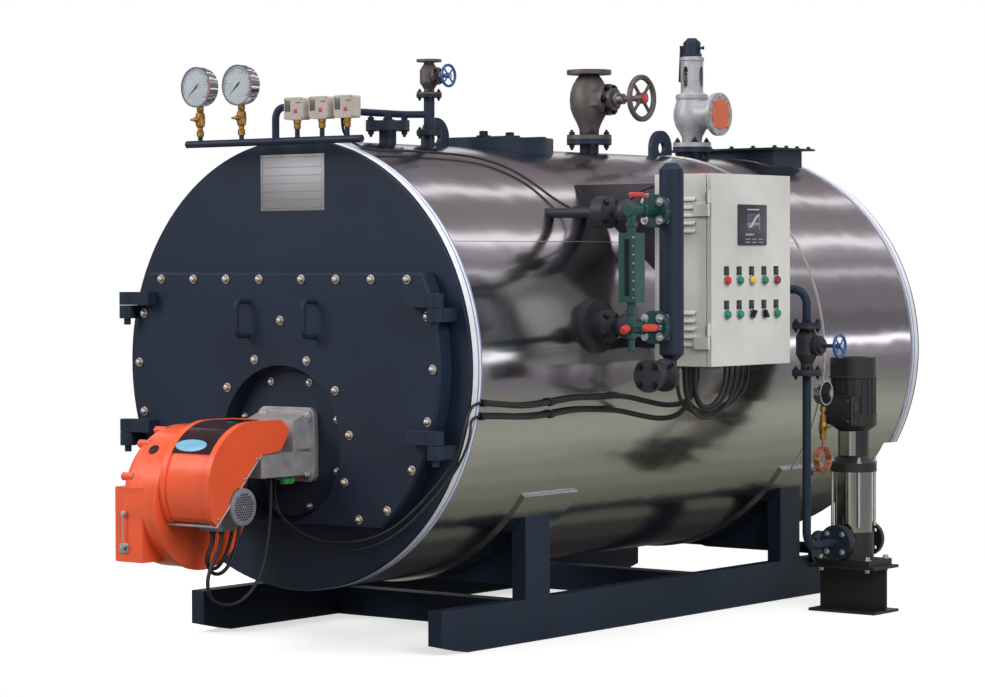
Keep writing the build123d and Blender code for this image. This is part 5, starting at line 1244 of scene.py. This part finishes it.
# Level column and gauge: a navy pipe with green enamelled cocks and a bolted flat gauge on its nozzles. The
# branch valves to the drum are dark iron, the cocks have red levers.
dress(navy_enamel, "level_column")
dark_iron = cast_metal("dark_painted_iron", "#34333a", roughness=0.5, metallic=0.25)
dress(dark_iron, "level_branches", "drain_valve")
green_enamel = enamel("green_gloss_enamel", "#0f403e", roughness=0.3, rub_hue="#3c706c")
dress(green_enamel, "gauge_cocks", "gauge_glass")
dress(red_enamel, "upper_lever", "lower_lever")
column_x, column_y, cock_y = 1160, 755, 650
upper_z, lower_z = axis_height + 557, axis_height + 139
cock_circle, cock_thick, screw_rows, screw_margin, screw_inset = 0.046, 17, 8, 0.016, 0.007
cover_screw = [(0.0034, 0), (0.0034, 0.0015), (0.002, 0.0028), (0, 0.003)]
glass_low, glass_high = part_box("gauge_glass")
bm = bmesh.new()
for z in (upper_z, lower_z):
    flange_studs(
        bm, mark(column_x, cock_y - cock_thick, z), frontward, cock_circle, count=4, grip=0.034, across=0.017,
    )
for row in range(screw_rows):
    rise = (glass_high.z - glass_low.z - 2 * screw_margin) * row / (screw_rows - 1)
    spot = Vector((glass_high.x - screw_inset, glass_low.y, glass_low.z + screw_margin + rise))
    lathe(bm, cover_screw, spot, frontward, steps=12)
place("gauge_bolts", bm, zinc_plate, "boiler", "gauge_green")
branch_x = 870
drain_front, drain_back, drain_z = (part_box("drain_valve")[0].y - front_y) * 1000, 703, axis_height - 35
bm = bmesh.new()
for z in (upper_z, lower_z):
    branch = mark(branch_x + cock_thick, column_y, z)
    flange_studs(bm, branch, rightward, cock_circle, count=4, grip=0.051, across=0.016)
for y in (drain_front, drain_back):
    flange_studs(bm, mark(column_x, y, drain_z), frontward, cock_circle, count=4, grip=0.017, across=0.015)
place("branch_studs", bm, black_bolt, "boiler", "cast_iron")
water_glass = moulded("dark_reflex_glass", "#22302f", roughness=0.08)
slot_x, slot_margin = column_x / 1000, 0.022


def glass_strip(bm, x, half, front, back):
    """Adds an upright strip in the gauge's window to a mesh, between two depths from its face."""
    low_z, high_z = glass_low.z + slot_margin, glass_high.z - slot_margin
    slab(bm, (x - half, glass_low.y + front, low_z), (x + half, glass_low.y + back, high_z))


groove_half, groove_pitch, gasket_reach = 0.0008, 0.0034, 0.0112
bm = bmesh.new()
glass_strip(bm, slot_x, half=0.009, front=0.006, back=0.01)
for groove in (-2, -1, 0, 1, 2):
    glass_strip(bm, slot_x + groove * groove_pitch, half=groove_half, front=0.005, back=0.0062)
place("reflex_glass", bm, water_glass, "boiler", "gauge_green")
bm = bmesh.new()
for side in (-1, 1):
    glass_strip(bm, slot_x + side * gasket_reach, half=0.0014, front=-0.0012, back=0.002)
place("glass_gaskets", bm, grommet_rubber, "boiler", "gauge_green")
knob = [(0.006, 0), (0.013, 0.003), (0.015, 0.012), (0.015, 0.03), (0.012, 0.037), (0, 0.039)]
knob_y, knob_axis = 484, (0, -1, -0.25)
bm = bmesh.new()
lathe(bm, knob, mark(column_x, knob_y, lower_z), knob_axis, steps=14)
place("drain_knob", bm, red_enamel, "boiler", "lever_red")
spout = [
    (0.017, 0), (0.017, -0.02), (0.011, -0.024), (0.011, -0.05), (0.014, -0.052), (0.014, -0.066),
    (0.008, -0.068),
]
gland_ring = [(0.0235, 0), (0.026, 0.004), (0.026, 0.016), (0.0235, 0.02)]
union_nut = [(0.017, 0), (0.022, 0.002), (0.022, 0.018), (0.017, 0.02)]
gland_y, union_y = 560, 505
bm = bmesh.new()
lathe(bm, spout, mark(column_x, union_y, lower_z - 17), upward, steps=16)
for z, union_z in ((upper_z, upper_z - 60), (lower_z, lower_z + 45)):
    lathe(bm, gland_ring, mark(column_x, gland_y, z), (0, 1, 0), steps=20)
    lathe(bm, union_nut, mark(column_x, union_y, union_z), upward, steps=6)
place("cock_glands", bm, green_enamel, "boiler", "gauge_green")
lever_nut, nut_y, nut_rise = [(0.009, 0), (0.009, 0.005), (0, 0.006)], 596, 57
upper_grip = (mark(column_x - 12, 500, upper_z + 47), mark(column_x + 12, 572, upper_z + 65))
lower_grip = (mark(column_x + 47, 500, lower_z - 13), mark(column_x + 64, 572, lower_z + 13))
for cock, nut_spot, axis, grip in (
    ("upper", mark(column_x, nut_y, upper_z + nut_rise), upward, upper_grip),
    ("lower", mark(column_x + nut_rise, nut_y, lower_z), rightward, lower_grip),
):
    bm = bmesh.new()
    lathe(bm, lever_nut, nut_spot, axis, steps=6)
    place(f"{cock}_lever_nut", bm, zinc_plate, f"{cock}_cock_lever", "lever_red")
    bm = bmesh.new()
    slab(bm, *grip, bevel=0.006, segments=3)
    place(f"{cock}_lever_grip", bm, red_enamel, f"{cock}_cock_lever", "lever_red")


# Control cabinet: a folded sheet box in pale grey powder coat on two pairs of bracket arms, with pressed
# louvres in its front side. A gusset of bare steel sheet stands between its brackets and the drum.
powder_coat = enamel("pale_grey_powder_coat", "#d3d2cd", roughness=0.5, rub_hue="#e2e1dd")
dress(powder_coat, "cabinet", "cabinet_door")
dress(navy_enamel, "cabinet_brackets")
cabinet_left, cabinet_top, cabinet_bottom = 880, axis_height + 696, axis_height - 9
louvre_middle, louvre_half, louvre_pitch, louvre_count = 1113, 69, 29, 5
louvre = [(0, 14), (-3.5, 12), (-7, 5), (-7.5, -1), (-6, -1), (-2, 7), (0, 8)]
bm = bmesh.new()
for first in (cabinet_top - 99, cabinet_bottom + 190):
    for number in range(louvre_count):
        z = first - number * louvre_pitch
        outline = [(cabinet_left + out, z + rise) for out, rise in louvre]
        prism(bm, outline, louvre_middle - louvre_half, louvre_middle + louvre_half)
place("cabinet_louvres", bm, powder_coat, "boiler", "cabinet_grey", sharp=20)

gusset_steel = bright_sheet("oiled_mild_steel_sheet", "#4e4c50", roughness=0.36, around="Y")
gusset_y, gusset_thick, gusset_low, gusset_high, gusset_right, gusset_gap = 1080, 3, 1290, 1705, 1000, 1
gusset_foot, gusset_edge = 40, 30
shell = shell_radius * 1000 + gusset_gap
gusset_left, gusset_root = [
    (shell * shell - (z - axis_height) ** 2) ** 0.5 for z in (gusset_high, gusset_high - gusset_edge)
]
outline = [
    (gusset_left, gusset_high), (gusset_right, gusset_high), (gusset_right, gusset_low),
    (gusset_right - gusset_foot, gusset_low), (gusset_root, gusset_high - gusset_edge),
]
bm = bmesh.new()
loft(bm, [[mark(x, y, z) for x, z in outline] for y in (gusset_y, gusset_y + gusset_thick)])
place("cabinet_gusset", bm, gusset_steel, "boiler", "navy_paint")


# Cabinet panel: a dark display with a grey screen and small keys, over two rows of lamps, buttons and
# selector switches, each with a black tag above it.
panel_plastic = moulded("dark_panel_moulding", "#34343f", roughness=0.35)
screen_glass = moulded("grey_display_glass", "#575b66", roughness=0.08)
key_grey = moulded("pale_key_caps", "#b5b7bd", roughness=0.4)
panel_x, cabinet_width = 1250, 533
middle_y, display_z = cabinet_left + cabinet_width / 2, cabinet_top - 186


def panel_spot(out, y, z):
    """A place on the display, in millimetres out from the panel and from the display's middle."""
    return mark(panel_x + out, middle_y + y, display_z + z)


bm = bmesh.new()
slab(bm, panel_spot(0, -95, -75), panel_spot(8, 95, 75), bevel=0.003)
display = place("display_bezel", bm, panel_plastic, "cabinet_leaf", "panel_parts")
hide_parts("panel_controls")
bm = bmesh.new()
slab(bm, panel_spot(8, -42, -22), panel_spot(8.6, 46, 42), bevel=0.0003)
place("display_screen", bm, screen_glass, "cabinet_leaf", "panel_parts")
round_key = [(0.0045, 0), (0.0045, 0.001), (0, 0.0014)]
trace = [
    (-36, -14), (-18, -10), (-4, 6), (12, 22), (30, 30), (40, 34), (40, 26), (26, 18), (10, 2), (-8, -16),
    (-24, -19),
]
trace_rise, trace_thick = 8, 0.00015
bm = bmesh.new()
for y in (-46, -31, -16, -1):
    lathe(bm, round_key, panel_spot(8, y, -36), rightward, steps=12)
for z in (-54, -66):
    for y in (-52, -8, 36):
        slab(bm, panel_spot(8, y, z), panel_spot(8.5, y + 30, z + 2.5))
slab(bm, panel_spot(8, -40, 54), panel_spot(8.5, 40, 59))
drawn = bm.faces.new([bm.verts.new(panel_spot(8.8, y, trace_rise + z)) for y, z in trace])
bm.normal_update()
bmesh.ops.solidify(bm, geom=[drawn], thickness=trace_thick)
place("display_keys", bm, key_grey, "cabinet_leaf", "panel_parts")

lamp_red = moulded("red_lamp_lens", "#d22f33", roughness=0.2)
lamp_green = moulded("green_button_cap", "#16896b", roughness=0.25)
lamp_yellow = moulded("yellow_lamp_lens", "#e8c23a", roughness=0.2)
lamp_wine = moulded("dark_red_button_cap", "#8e2b3c", roughness=0.25)
switch_black = moulded("black_selector", "#1b1b1f", roughness=0.35)
button_rows = [
    (cabinet_bottom + 314, (lamp_red, lamp_green, lamp_yellow, lamp_green, lamp_wine)),
    (cabinet_bottom + 189, (lamp_green, lamp_green, switch_black, switch_black, lamp_green)),
]
button_pitch, knob_out, knob_reach, knob_lean = 84, Vector((0.014, 0, 0)), 0.015, {2: 0.6, 3: -0.6}
collar = [(0.0205, 0), (0.0205, 0.003), (0.0185, 0.0055), (0.0155, 0.006), (0.0155, 0.003), (0, 0.003)]
knob_base = [(0.0145, 0.003), (0.0145, 0.009), (0.012, 0.011), (0, 0.011)]
button = [(0.0145, 0.003), (0.0145, 0.012), (0.0125, 0.0155), (0.007, 0.017), (0, 0.0172)]
tags, collars = bmesh.new(), bmesh.new()
for row, (z, caps) in enumerate(button_rows):
    for column, cap in enumerate(caps):
        y = middle_y + (column - 2) * button_pitch
        spot = mark(panel_x, y, z)
        slab(tags, mark(panel_x, y - 17, z + 19), mark(panel_x + 1.2, y + 17, z + 52), bevel=0.0004)
        lathe(collars, collar, spot, rightward, steps=28)
        bm = bmesh.new()
        if cap is switch_black:
            lathe(bm, knob_base, spot, rightward, steps=24)
            tilt = Vector((0, knob_lean[column], 0.8))
            grip = [spot + knob_out + sense * tilt * knob_reach for sense in (-1, 1)]
            bar(bm, *grip, width=0.009, thick=0.012, side=Vector(rightward).cross(tilt))
        else:
            lathe(bm, button, spot, rightward, steps=24)
        place(f"control_{row}_{column}", bm, cap, "cabinet_leaf", "panel_parts")
place("control_tags", tags, switch_black, "cabinet_leaf", "panel_parts")
place("control_collars", collars, chromed_steel, "cabinet_leaf", "panel_parts")


# Feed line: navy pipe with a dark iron valve and blue wheel. Its gauge is chromed on a brass cock over a
# coiled copper siphon.
dress(navy_enamel, "feed_pipe")
dress(dark_iron, "feed_valve")
dress(blue_enamel, "feed_wheel")


def gauge_train():
    """Chromed case, brass cock and copper siphon in one train, each at its own height."""
    ramp_low, ramp_high, cock_foot, case_foot = 0.5, 1.0, 0.702, 0.839
    material, tree = blank_material("chrome_brass_and_copper_train")
    spot = node(tree, "ShaderNodeTexCoord").outputs["Object"]
    parts = node(tree, "ShaderNodeSeparateXYZ", {0: spot})
    height = node(
        tree,
        "ShaderNodeMapRange",
        {"Value": parts.outputs["Z"], "From Min": ramp_low, "From Max": ramp_high},
    )
    metals = node(tree, "ShaderNodeValToRGB", {"Fac": height.outputs[0]})
    metals.color_ramp.interpolation = "CONSTANT"
    metals.color_ramp.elements[0].color = colour("#c98467")
    metals.color_ramp.elements[1].position = (case_foot - ramp_low) / (ramp_high - ramp_low)
    metals.color_ramp.elements[1].color = colour("#c4c4c8")
    brass = metals.color_ramp.elements.new((cock_foot - ramp_low) / (ramp_high - ramp_low))
    brass.color = colour("#b48a4a")
    mottle_size = 0.008
    marks = node(tree, "ShaderNodeTexNoise", {"Vector": spot, "Scale": 1 / mottle_size, "Detail": 4.0})
    dull = node(tree, "ShaderNodeMapRange", {"Value": marks.outputs[0], "To Min": 0.18, "To Max": 0.36})
    metal = node(
        tree,
        "ShaderNodeBsdfPrincipled",
        {"Base Color": metals.outputs[0], "Metallic": 1.0, "Roughness": dull.outputs[0]},
    )
    node(tree, "ShaderNodeOutputMaterial", {"Surface": metal.outputs[0]})
    return material


dress(gauge_train(), "feed_gauge")
feed_x, feed_y, siphon_y = 1062, 1835, 1955
feed_dial_x, feed_dial_z, feed_dial_radius = feed_x + 15, 889, 0.0435
dial("feed_dial", mark(feed_dial_x, siphon_y, feed_dial_z), rightward, feed_dial_radius, reading)
train = [
    (0.006, 0), (0.013, 0), (0.013, 0.016), (0.0095, 0.02), (0.0145, 0.026), (0.0165, 0.04),
    (0.0165, 0.058), (0.0145, 0.07), (0.0095, 0.074), (0.012, 0.078), (0.012, 0.094), (0.0075, 0.097),
    (0.0075, 0.112), (0.0115, 0.114), (0.0115, 0.132), (0.006, 0.136),
]
train_plug = [(0, 0), (0.0075, 0), (0.0075, 0.028), (0, 0.03)]
train_key = [(0, -0.026), (0.004, -0.025), (0.0055, 0), (0.004, 0.025), (0, 0.026)]
train_z, plug_z, key_x, key_axis = 703, 752, feed_x + 26, (0, 1, 0.2)
bm = bmesh.new()
lathe(bm, train, mark(feed_x, siphon_y, train_z), upward, steps=16)
lathe(bm, train_plug, mark(feed_x, siphon_y, plug_z), rightward, steps=12)
lathe(bm, train_key, mark(key_x, siphon_y, plug_z), key_axis, steps=10)
place("feed_cock_brass", bm, turned_brass, "boiler", "gauge_case")
feed_joints, feed_thick, feed_wheel_x, feed_stem_z = (972, 1157), 11.6, 1218, 1079
bm = bmesh.new()
for joint in feed_joints:
    flange_studs(
        bm, mark(feed_x, feed_y, joint + feed_thick), upward, circle=0.044, count=4, grip=0.0232,
        across=0.014,
    )
place("feed_studs", bm, black_bolt, "boiler", "cast_iron")
feed_nut = [(0.01, 0), (0.01, 0.006), (0, 0.008)]
bm = bmesh.new()
lathe(bm, feed_nut, mark(feed_wheel_x, feed_y, feed_stem_z), rightward, steps=6)
place("feed_wheel_nut", bm, zinc_plate, "feed_handwheel", "wheel_blue")


# Feed pump: an upright multistage pump in black paint, bolted on a length of I-section. Four stay bolts
# hold its polished stainless sleeve between base and head.
pump_paint = enamel("black_satin_paint", "#1f1f22", roughness=0.36, rub_hue="#434347")
dress(pump_paint, "pump_stand", "pump_base", "pump_head", "pump_motor")
dress(bright_sheet("polished_stainless_sleeve", "#b9b5b0", roughness=0.12, around="Z"), "pump_sleeve")
pump_y = 2190
pump_axis = mark(feed_x, pump_y, 0)


def over_pump(z):
    """A place on the pump's upright axis, at a height in metres."""
    return pump_axis + Vector((0, 0, z))


sleeve_low, sleeve_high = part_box("pump_sleeve")
stay_circle, stay_radius, stay_length, stay_foot = 0.0865, 0.0065, 0.28, sleeve_low.z + 0.022
stay = [(stay_radius, 0), (stay_radius, stay_length), (0, stay_length)]
bm = bmesh.new()
for spot in around(over_pump(stay_foot), upward, radius=stay_circle, count=4, turn=45):
    lathe(bm, stay, spot, upward, steps=12)
spots = around(over_pump(sleeve_high.z + 0.036), upward, radius=0.083, count=4, turn=45)
hex_bolts(bm, spots, upward, across=0.017, height=0.01)
foot_x, foot_y, foot_z, foot_grip = 107, 72, 214, 36
for z, axis in ((foot_z, upward), (foot_z - foot_grip, (0, 0, -1))):
    feet = [mark(feed_x + sx * foot_x, pump_y + sy * foot_y, z) for sx in (-1, 1) for sy in (-1, 1)]
    hex_bolts(bm, feet, axis, across=0.018, height=0.011)
port_y, port_z, port_half = 2065, 286, 20
for y, axis in ((port_y - port_half, frontward), (port_y + port_half, (0, 1, 0))):
    spots = around(mark(feed_x, y, port_z), axis, radius=0.05, count=4, turn=45)
    hex_bolts(bm, spots, axis, across=0.013, height=0.008)
place("pump_bolts", bm, zinc_plate, "boiler", "pump_black")
guard_steel = bright_sheet("stainless_coupling_guard", "#a9a6a4", roughness=0.22, around="Z")
guard_inner, guard_outer, guard_low, guard_high, guard_half, steps = 0.064, 0.0652, 0.63, 0.728, 38, 10
corners = [
    (guard_inner, guard_low),
    (guard_outer, guard_low),
    (guard_outer, guard_high),
    (guard_inner, guard_high),
]
bm = bmesh.new()
for facing in (-90, 90):
    rows = []
    for step in range(steps + 1):
        a = radians(facing - guard_half + 2 * guard_half * step / steps)
        rows.append([over_pump(z) + Vector((cos(a), sin(a), 0)) * r for r, z in corners])
    loft(bm, rows)
place("coupling_guards", bm, guard_steel, "boiler", "pump_black")
motor_low, motor_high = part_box("pump_motor")
cowl_ring = [(0.0945, 0), (0.0972, 0.002), (0.0972, 0.01), (0.0945, 0.012)]
cowl_cap = [(0.05, 0), (0.05, 0.003), (0.04, 0.004), (0, 0.004)]
cowl_height, lid_half, lid_thick = 0.084, 0.058, 0.004


def box_spot(x, y, z):
    """A place on the motor's terminal box, in metres from the pump's axis, the box's face and its foot."""
    return Vector((pump_axis.x + x, motor_low.y + y, motor_low.z + z))


bm = bmesh.new()
lathe(bm, cowl_ring, over_pump(motor_high.z - cowl_height), upward, steps=40)
lathe(bm, cowl_cap, over_pump(motor_high.z), upward, steps=32)
slab(bm, box_spot(-lid_half, -lid_thick, 0.008), box_spot(lid_half, 0, 0.105), bevel=0.003)
slab(bm, box_spot(0.065, 0.02, 0.02), box_spot(0.067, 0.08, 0.09), bevel=0.001)
place("pump_motor_trim", bm, pump_paint, "boiler", "pump_black")
lid_screw, lid_reach = [(0.0035, 0), (0.0035, 0.001), (0, 0.002)], 0.052
bm = bmesh.new()
for x in (-lid_reach, lid_reach):
    for z in (0.014, 0.099):
        lathe(bm, lid_screw, box_spot(x, -lid_thick, z), frontward, steps=10)
place("terminal_screws", bm, zinc_plate, "boiler", "pump_black")


# Blow-down line: a navy-painted pipe led out from under the drum to drain it. The flange at its end has
# four zinc-plated bolts.
dress(navy_enamel, "blow_down_pipe")
blow_low, blow_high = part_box("blow_down_pipe")
blow_y, blow_thick = mark(0, 2625, 0).y, 0.018
blow_spot = Vector((blow_high.x - blow_thick, blow_y, (blow_low.z + blow_high.z) / 2))
bm = bmesh.new()
spots = around(blow_spot, (-1, 0, 0), radius=0.055, count=4, turn=45)
hex_bolts(bm, spots, (-1, 0, 0), across=0.016, height=0.011)
place("blow_down_bolts", bm, zinc_plate, "boiler", "navy_paint")


# Cables: black rubber-sheathed cable. Two conduits run clipped along the jacket to the cabinet, and two
# leads join them to the burner round the rim. The rest hang in bows under the cabinet and the burner, and
# one crosses the top of the drum from the switches to the cabinet.
def sheath():
    """Extruded rubber sheath: matt black with a faint bloom."""
    material, tree = blank_material("black_rubber_sheath")
    spot = node(tree, "ShaderNodeTexCoord").outputs["Object"]
    bloom_size = 0.02
    bloom = node(tree, "ShaderNodeTexNoise", {"Vector": spot, "Scale": 1 / bloom_size, "Detail": 4.0})
    ramp = node(tree, "ShaderNodeValToRGB", {"Fac": bloom.outputs[0]})
    ramp.color_ramp.elements[0].color = colour("#151417")
    ramp.color_ramp.elements[1].color = colour("#2c292d")
    dull = node(tree, "ShaderNodeMapRange", {"Value": bloom.outputs[0], "To Min": 0.35, "To Max": 0.6})
    rubber = node(
        tree,
        "ShaderNodeBsdfPrincipled",
        {"Base Color": ramp.outputs[0], "Roughness": dull.outputs[0], "IOR": 1.5},
    )
    node(tree, "ShaderNodeOutputMaterial", {"Surface": rubber.outputs[0]})
    return material


cable_sheath = sheath()


def cable(name, route, radius):
    """A cable along its route as one smooth spline, and the spline's length."""
    line = bpy.data.curves.new(name, "CURVE")
    line.dimensions = "3D"
    line.resolution_u = 6
    line.bevel_depth = radius
    line.bevel_resolution = 2
    line.materials.append(cable_sheath)
    spline = line.splines.new("NURBS")
    spline.points.add(len(route) - 1)
    for point, spot in zip(spline.points, route):
        point.co = (*spot, 1)
    spline.order_u = 3
    spline.use_endpoint_u = True
    piece = bpy.data.objects.new(name, line)
    bpy.context.scene.collection.objects.link(piece)
    return piece, spline.calc_length()


def hang(name, route, radius, body):
    """A cable that goes from the object back into the object, riding on one body."""
    piece, length = cable(name, route, radius)
    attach(piece, body)
    return piece


def jacket_spot(y, angle):
    """A place on the conduits' line along the jacket, at an angle from level."""
    reach = shell_radius + conduit_radius + conduit_gap
    return Vector((reach * cos(radians(angle)), front_y + y / 1000, axis_z + reach * sin(radians(angle))))


conduit_radius, conduit_gap = 0.01, 0.0003
upper_held = [(72, -8.3), (173, -8.9), (322, -9.8), (470, -9.2), (620, -8.3), (778, -8.7)]
lower_held = [(74, -11.6), (183, -11.9), (333, -12.6), (481, -12.3), (631, -11.4), (789, -11.9)]
upper_free = [
    (832, 905, 912), (872, 1000, 888), (942, 1058, 868), (1012, 1088, 888), (1043, 1098, 952),
    (1043, 1098, 1026),
]
lower_free = [
    (828, 892, 856), (864, 978, 834), (934, 1024, 820), (1006, 1042, 840), (1040, 1046, 902),
    (1043, 1046, 965), (1043, 1046, 1026),
]
upper_route = [jacket_spot(*spot) for spot in upper_held] + [mark(*spot) for spot in upper_free]
lower_route = [jacket_spot(*spot) for spot in lower_held] + [mark(*spot) for spot in lower_free]
upper_conduit = hang("upper_conduit", upper_route, conduit_radius, "boiler")
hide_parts("jacket_conduits")
hang("lower_conduit", lower_route, conduit_radius, "boiler")
clip_black = moulded("black_nylon_clip", "#1a1a1d", roughness=0.5)
clip_radius, clip_bore, clip_half = 0.0135, 0.0098, 0.011
clip_ends = [-clip_half, clip_half]
clip = [(clip_bore, -clip_half), *[(clip_radius, end) for end in clip_ends], (clip_bore, clip_half)]
bm = bmesh.new()
for held in (upper_held, lower_held):
    for spot, after in ((held[0], held[1]), (held[3], held[4])):
        centre = jacket_spot(*spot)
        lathe(bm, clip, centre, jacket_spot(*after) - centre, steps=16)
        slab(bm, centre - Vector((0.012, 0.006, 0.006)), centre + Vector((0, 0.006, 0.006)), bevel=0.001)
place("conduit_clips", bm, clip_black, "boiler", "cable_black")

lead_radius, lead_tail, lead_gap = 0.005, 0.062, 0.0015
upper_lead = [
    (-60, -80, 640), (-60, -80, 590), (-35, -92, 545), (20, -95, 490), (95, -95, 440),
    (200, -95, 408), (320, -95, 404), (440, -92, 424), (545, -80, 470), (635, -62, 545),
    (710, -50, 622), (776, -42, 700), (817, -40, 780), (838, -38, 850),
]
lower_lead = [
    (-30, -70, 640), (-30, -70, 585), (-12, -84, 520), (45, -86, 455), (130, -86, 402),
    (240, -86, 376), (355, -86, 376), (465, -84, 402), (565, -72, 455), (652, -58, 530),
    (727, -48, 606), (794, -40, 684), (832, -34, 752), (842, -20, 812),
]
lead_runs = [("upper_lead", upper_lead, upper_route), ("lower_lead", lower_lead, lower_route)]
for name, spots, conduit in lead_runs:
    along = (conduit[1] - conduit[0]).normalized()
    tail = [conduit[0] - along * gap for gap in (lead_tail, lead_gap)]
    route = [mark(*spot) for spot in spots] + tail
    line, length = cable(f"{name}_line", route, lead_radius)
    tube_mesh = bpy.data.meshes.new_from_object(line)
    line.data.bevel_depth = 0
    bpy.context.view_layer.update()
    path = [vert.co.copy() for vert in bpy.data.meshes.new_from_object(line).vertices]
    bpy.data.objects.remove(line)
    tube_mesh.shade_smooth()
    lead = bpy.data.objects.new(name, tube_mesh)
    bpy.context.scene.collection.objects.link(lead)
    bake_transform(lead)
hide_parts("burner_leads")

cable_radius = 0.007
burner_routes = [
    [
        (30, -420, 458), (30, -420, 410), (26, -462, 350), (20, -488, 285), (18, -470, 218),
        (22, -400, 186), (28, -315, 196), (36, -248, 248), (46, -212, 330), (54, -198, 430),
        (58, -190, 540), (58, -190, 640),
    ],
    [
        (-5, -430, 458), (-5, -430, 412), (-12, -452, 360), (-20, -432, 312), (-26, -378, 292),
        (-30, -322, 316), (-32, -282, 372), (-30, -262, 450), (-24, -250, 540), (-24, -250, 640),
    ],
    [
        (-38, -388, 458), (-38, -388, 415), (-48, -416, 366), (-58, -402, 322), (-66, -352, 308),
        (-72, -302, 336), (-76, -264, 396), (-76, -242, 470), (-74, -230, 550), (-74, -230, 640),
    ],
]
gland_black = moulded("black_nylon_gland", "#202023", roughness=0.45)
glands = bmesh.new()
gland_profile = [(0.0072, 0), (0.012, 0), (0.012, 0.008), (0.0095, 0.012), (0.0072, 0.013)]
for number, spots in enumerate(burner_routes):
    route = [mark(*spot) for spot in spots]
    loop = hang(f"burner_loop_{number}", route, cable_radius, "door")
    if number == 0:
        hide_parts("burner_cables")
    for end in (route[0], route[-1]):
        lathe(glands, gland_profile, end, (0, 0, -1), steps=8)
place("burner_glands", glands, gland_black, "door", "cable_black")

loop_places = [
    (1080, 905, 1385, 838), (1098, 925, 1315, 850), (1116, 912, 1245, 826), (1134, 935, 1180, 858),
    (1152, 918, 1120, 872),
]
conduit_gland = [(0.0102, 0), (0.016, 0), (0.016, 0.01), (0.013, 0.014), (0.0102, 0.015)]
loop_shares = ((0, 0), (0, 0.45), (0.08, 0.8), (0.3, 1), (0.58, 0.96), (0.86, 0.72), (1, 0.4), (1, 0))
glands = bmesh.new()
for number, (x, left_y, right_y, low_z) in enumerate(loop_places):
    fall = cabinet_bottom - low_z
    route = [mark(x, left_y + a * (right_y - left_y), cabinet_bottom - d * fall) for a, d in loop_shares]
    loop = hang(f"cabinet_loop_{number}", route, cable_radius, "boiler")
    if number == 0:
        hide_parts("cabinet_cables")
    for end in (route[0], route[-1]):
        lathe(glands, gland_profile, end, (0, 0, -1), steps=8)
for end in (upper_route[-1], lower_route[-1]):
    lathe(glands, conduit_gland, end, (0, 0, -1), steps=8)
place("cabinet_glands", glands, gland_black, "boiler", "cable_black")

top_spots = [
    (318, -90, 1925), (318, -90, 1886), (317, -62, 1856), (312, 0, 1830), (306, 80, 1816),
    (300, 180, 1817.5), (296, 290, 1820), (298, 400, 1818.5), (305, 510, 1815.5), (316, 610, 1811),
    (345, 700, 1798), (410, 765, 1766), (495, 800, 1710), (578, 830, 1644), (650, 865, 1600),
    (735, 895, 1590), (820, 912, 1612), (890, 922, 1662), (945, 925, 1690), (1000, 925, 1690),
]
hang("switch_cable", [mark(*spot) for spot in top_spots], lead_radius, "boiler")
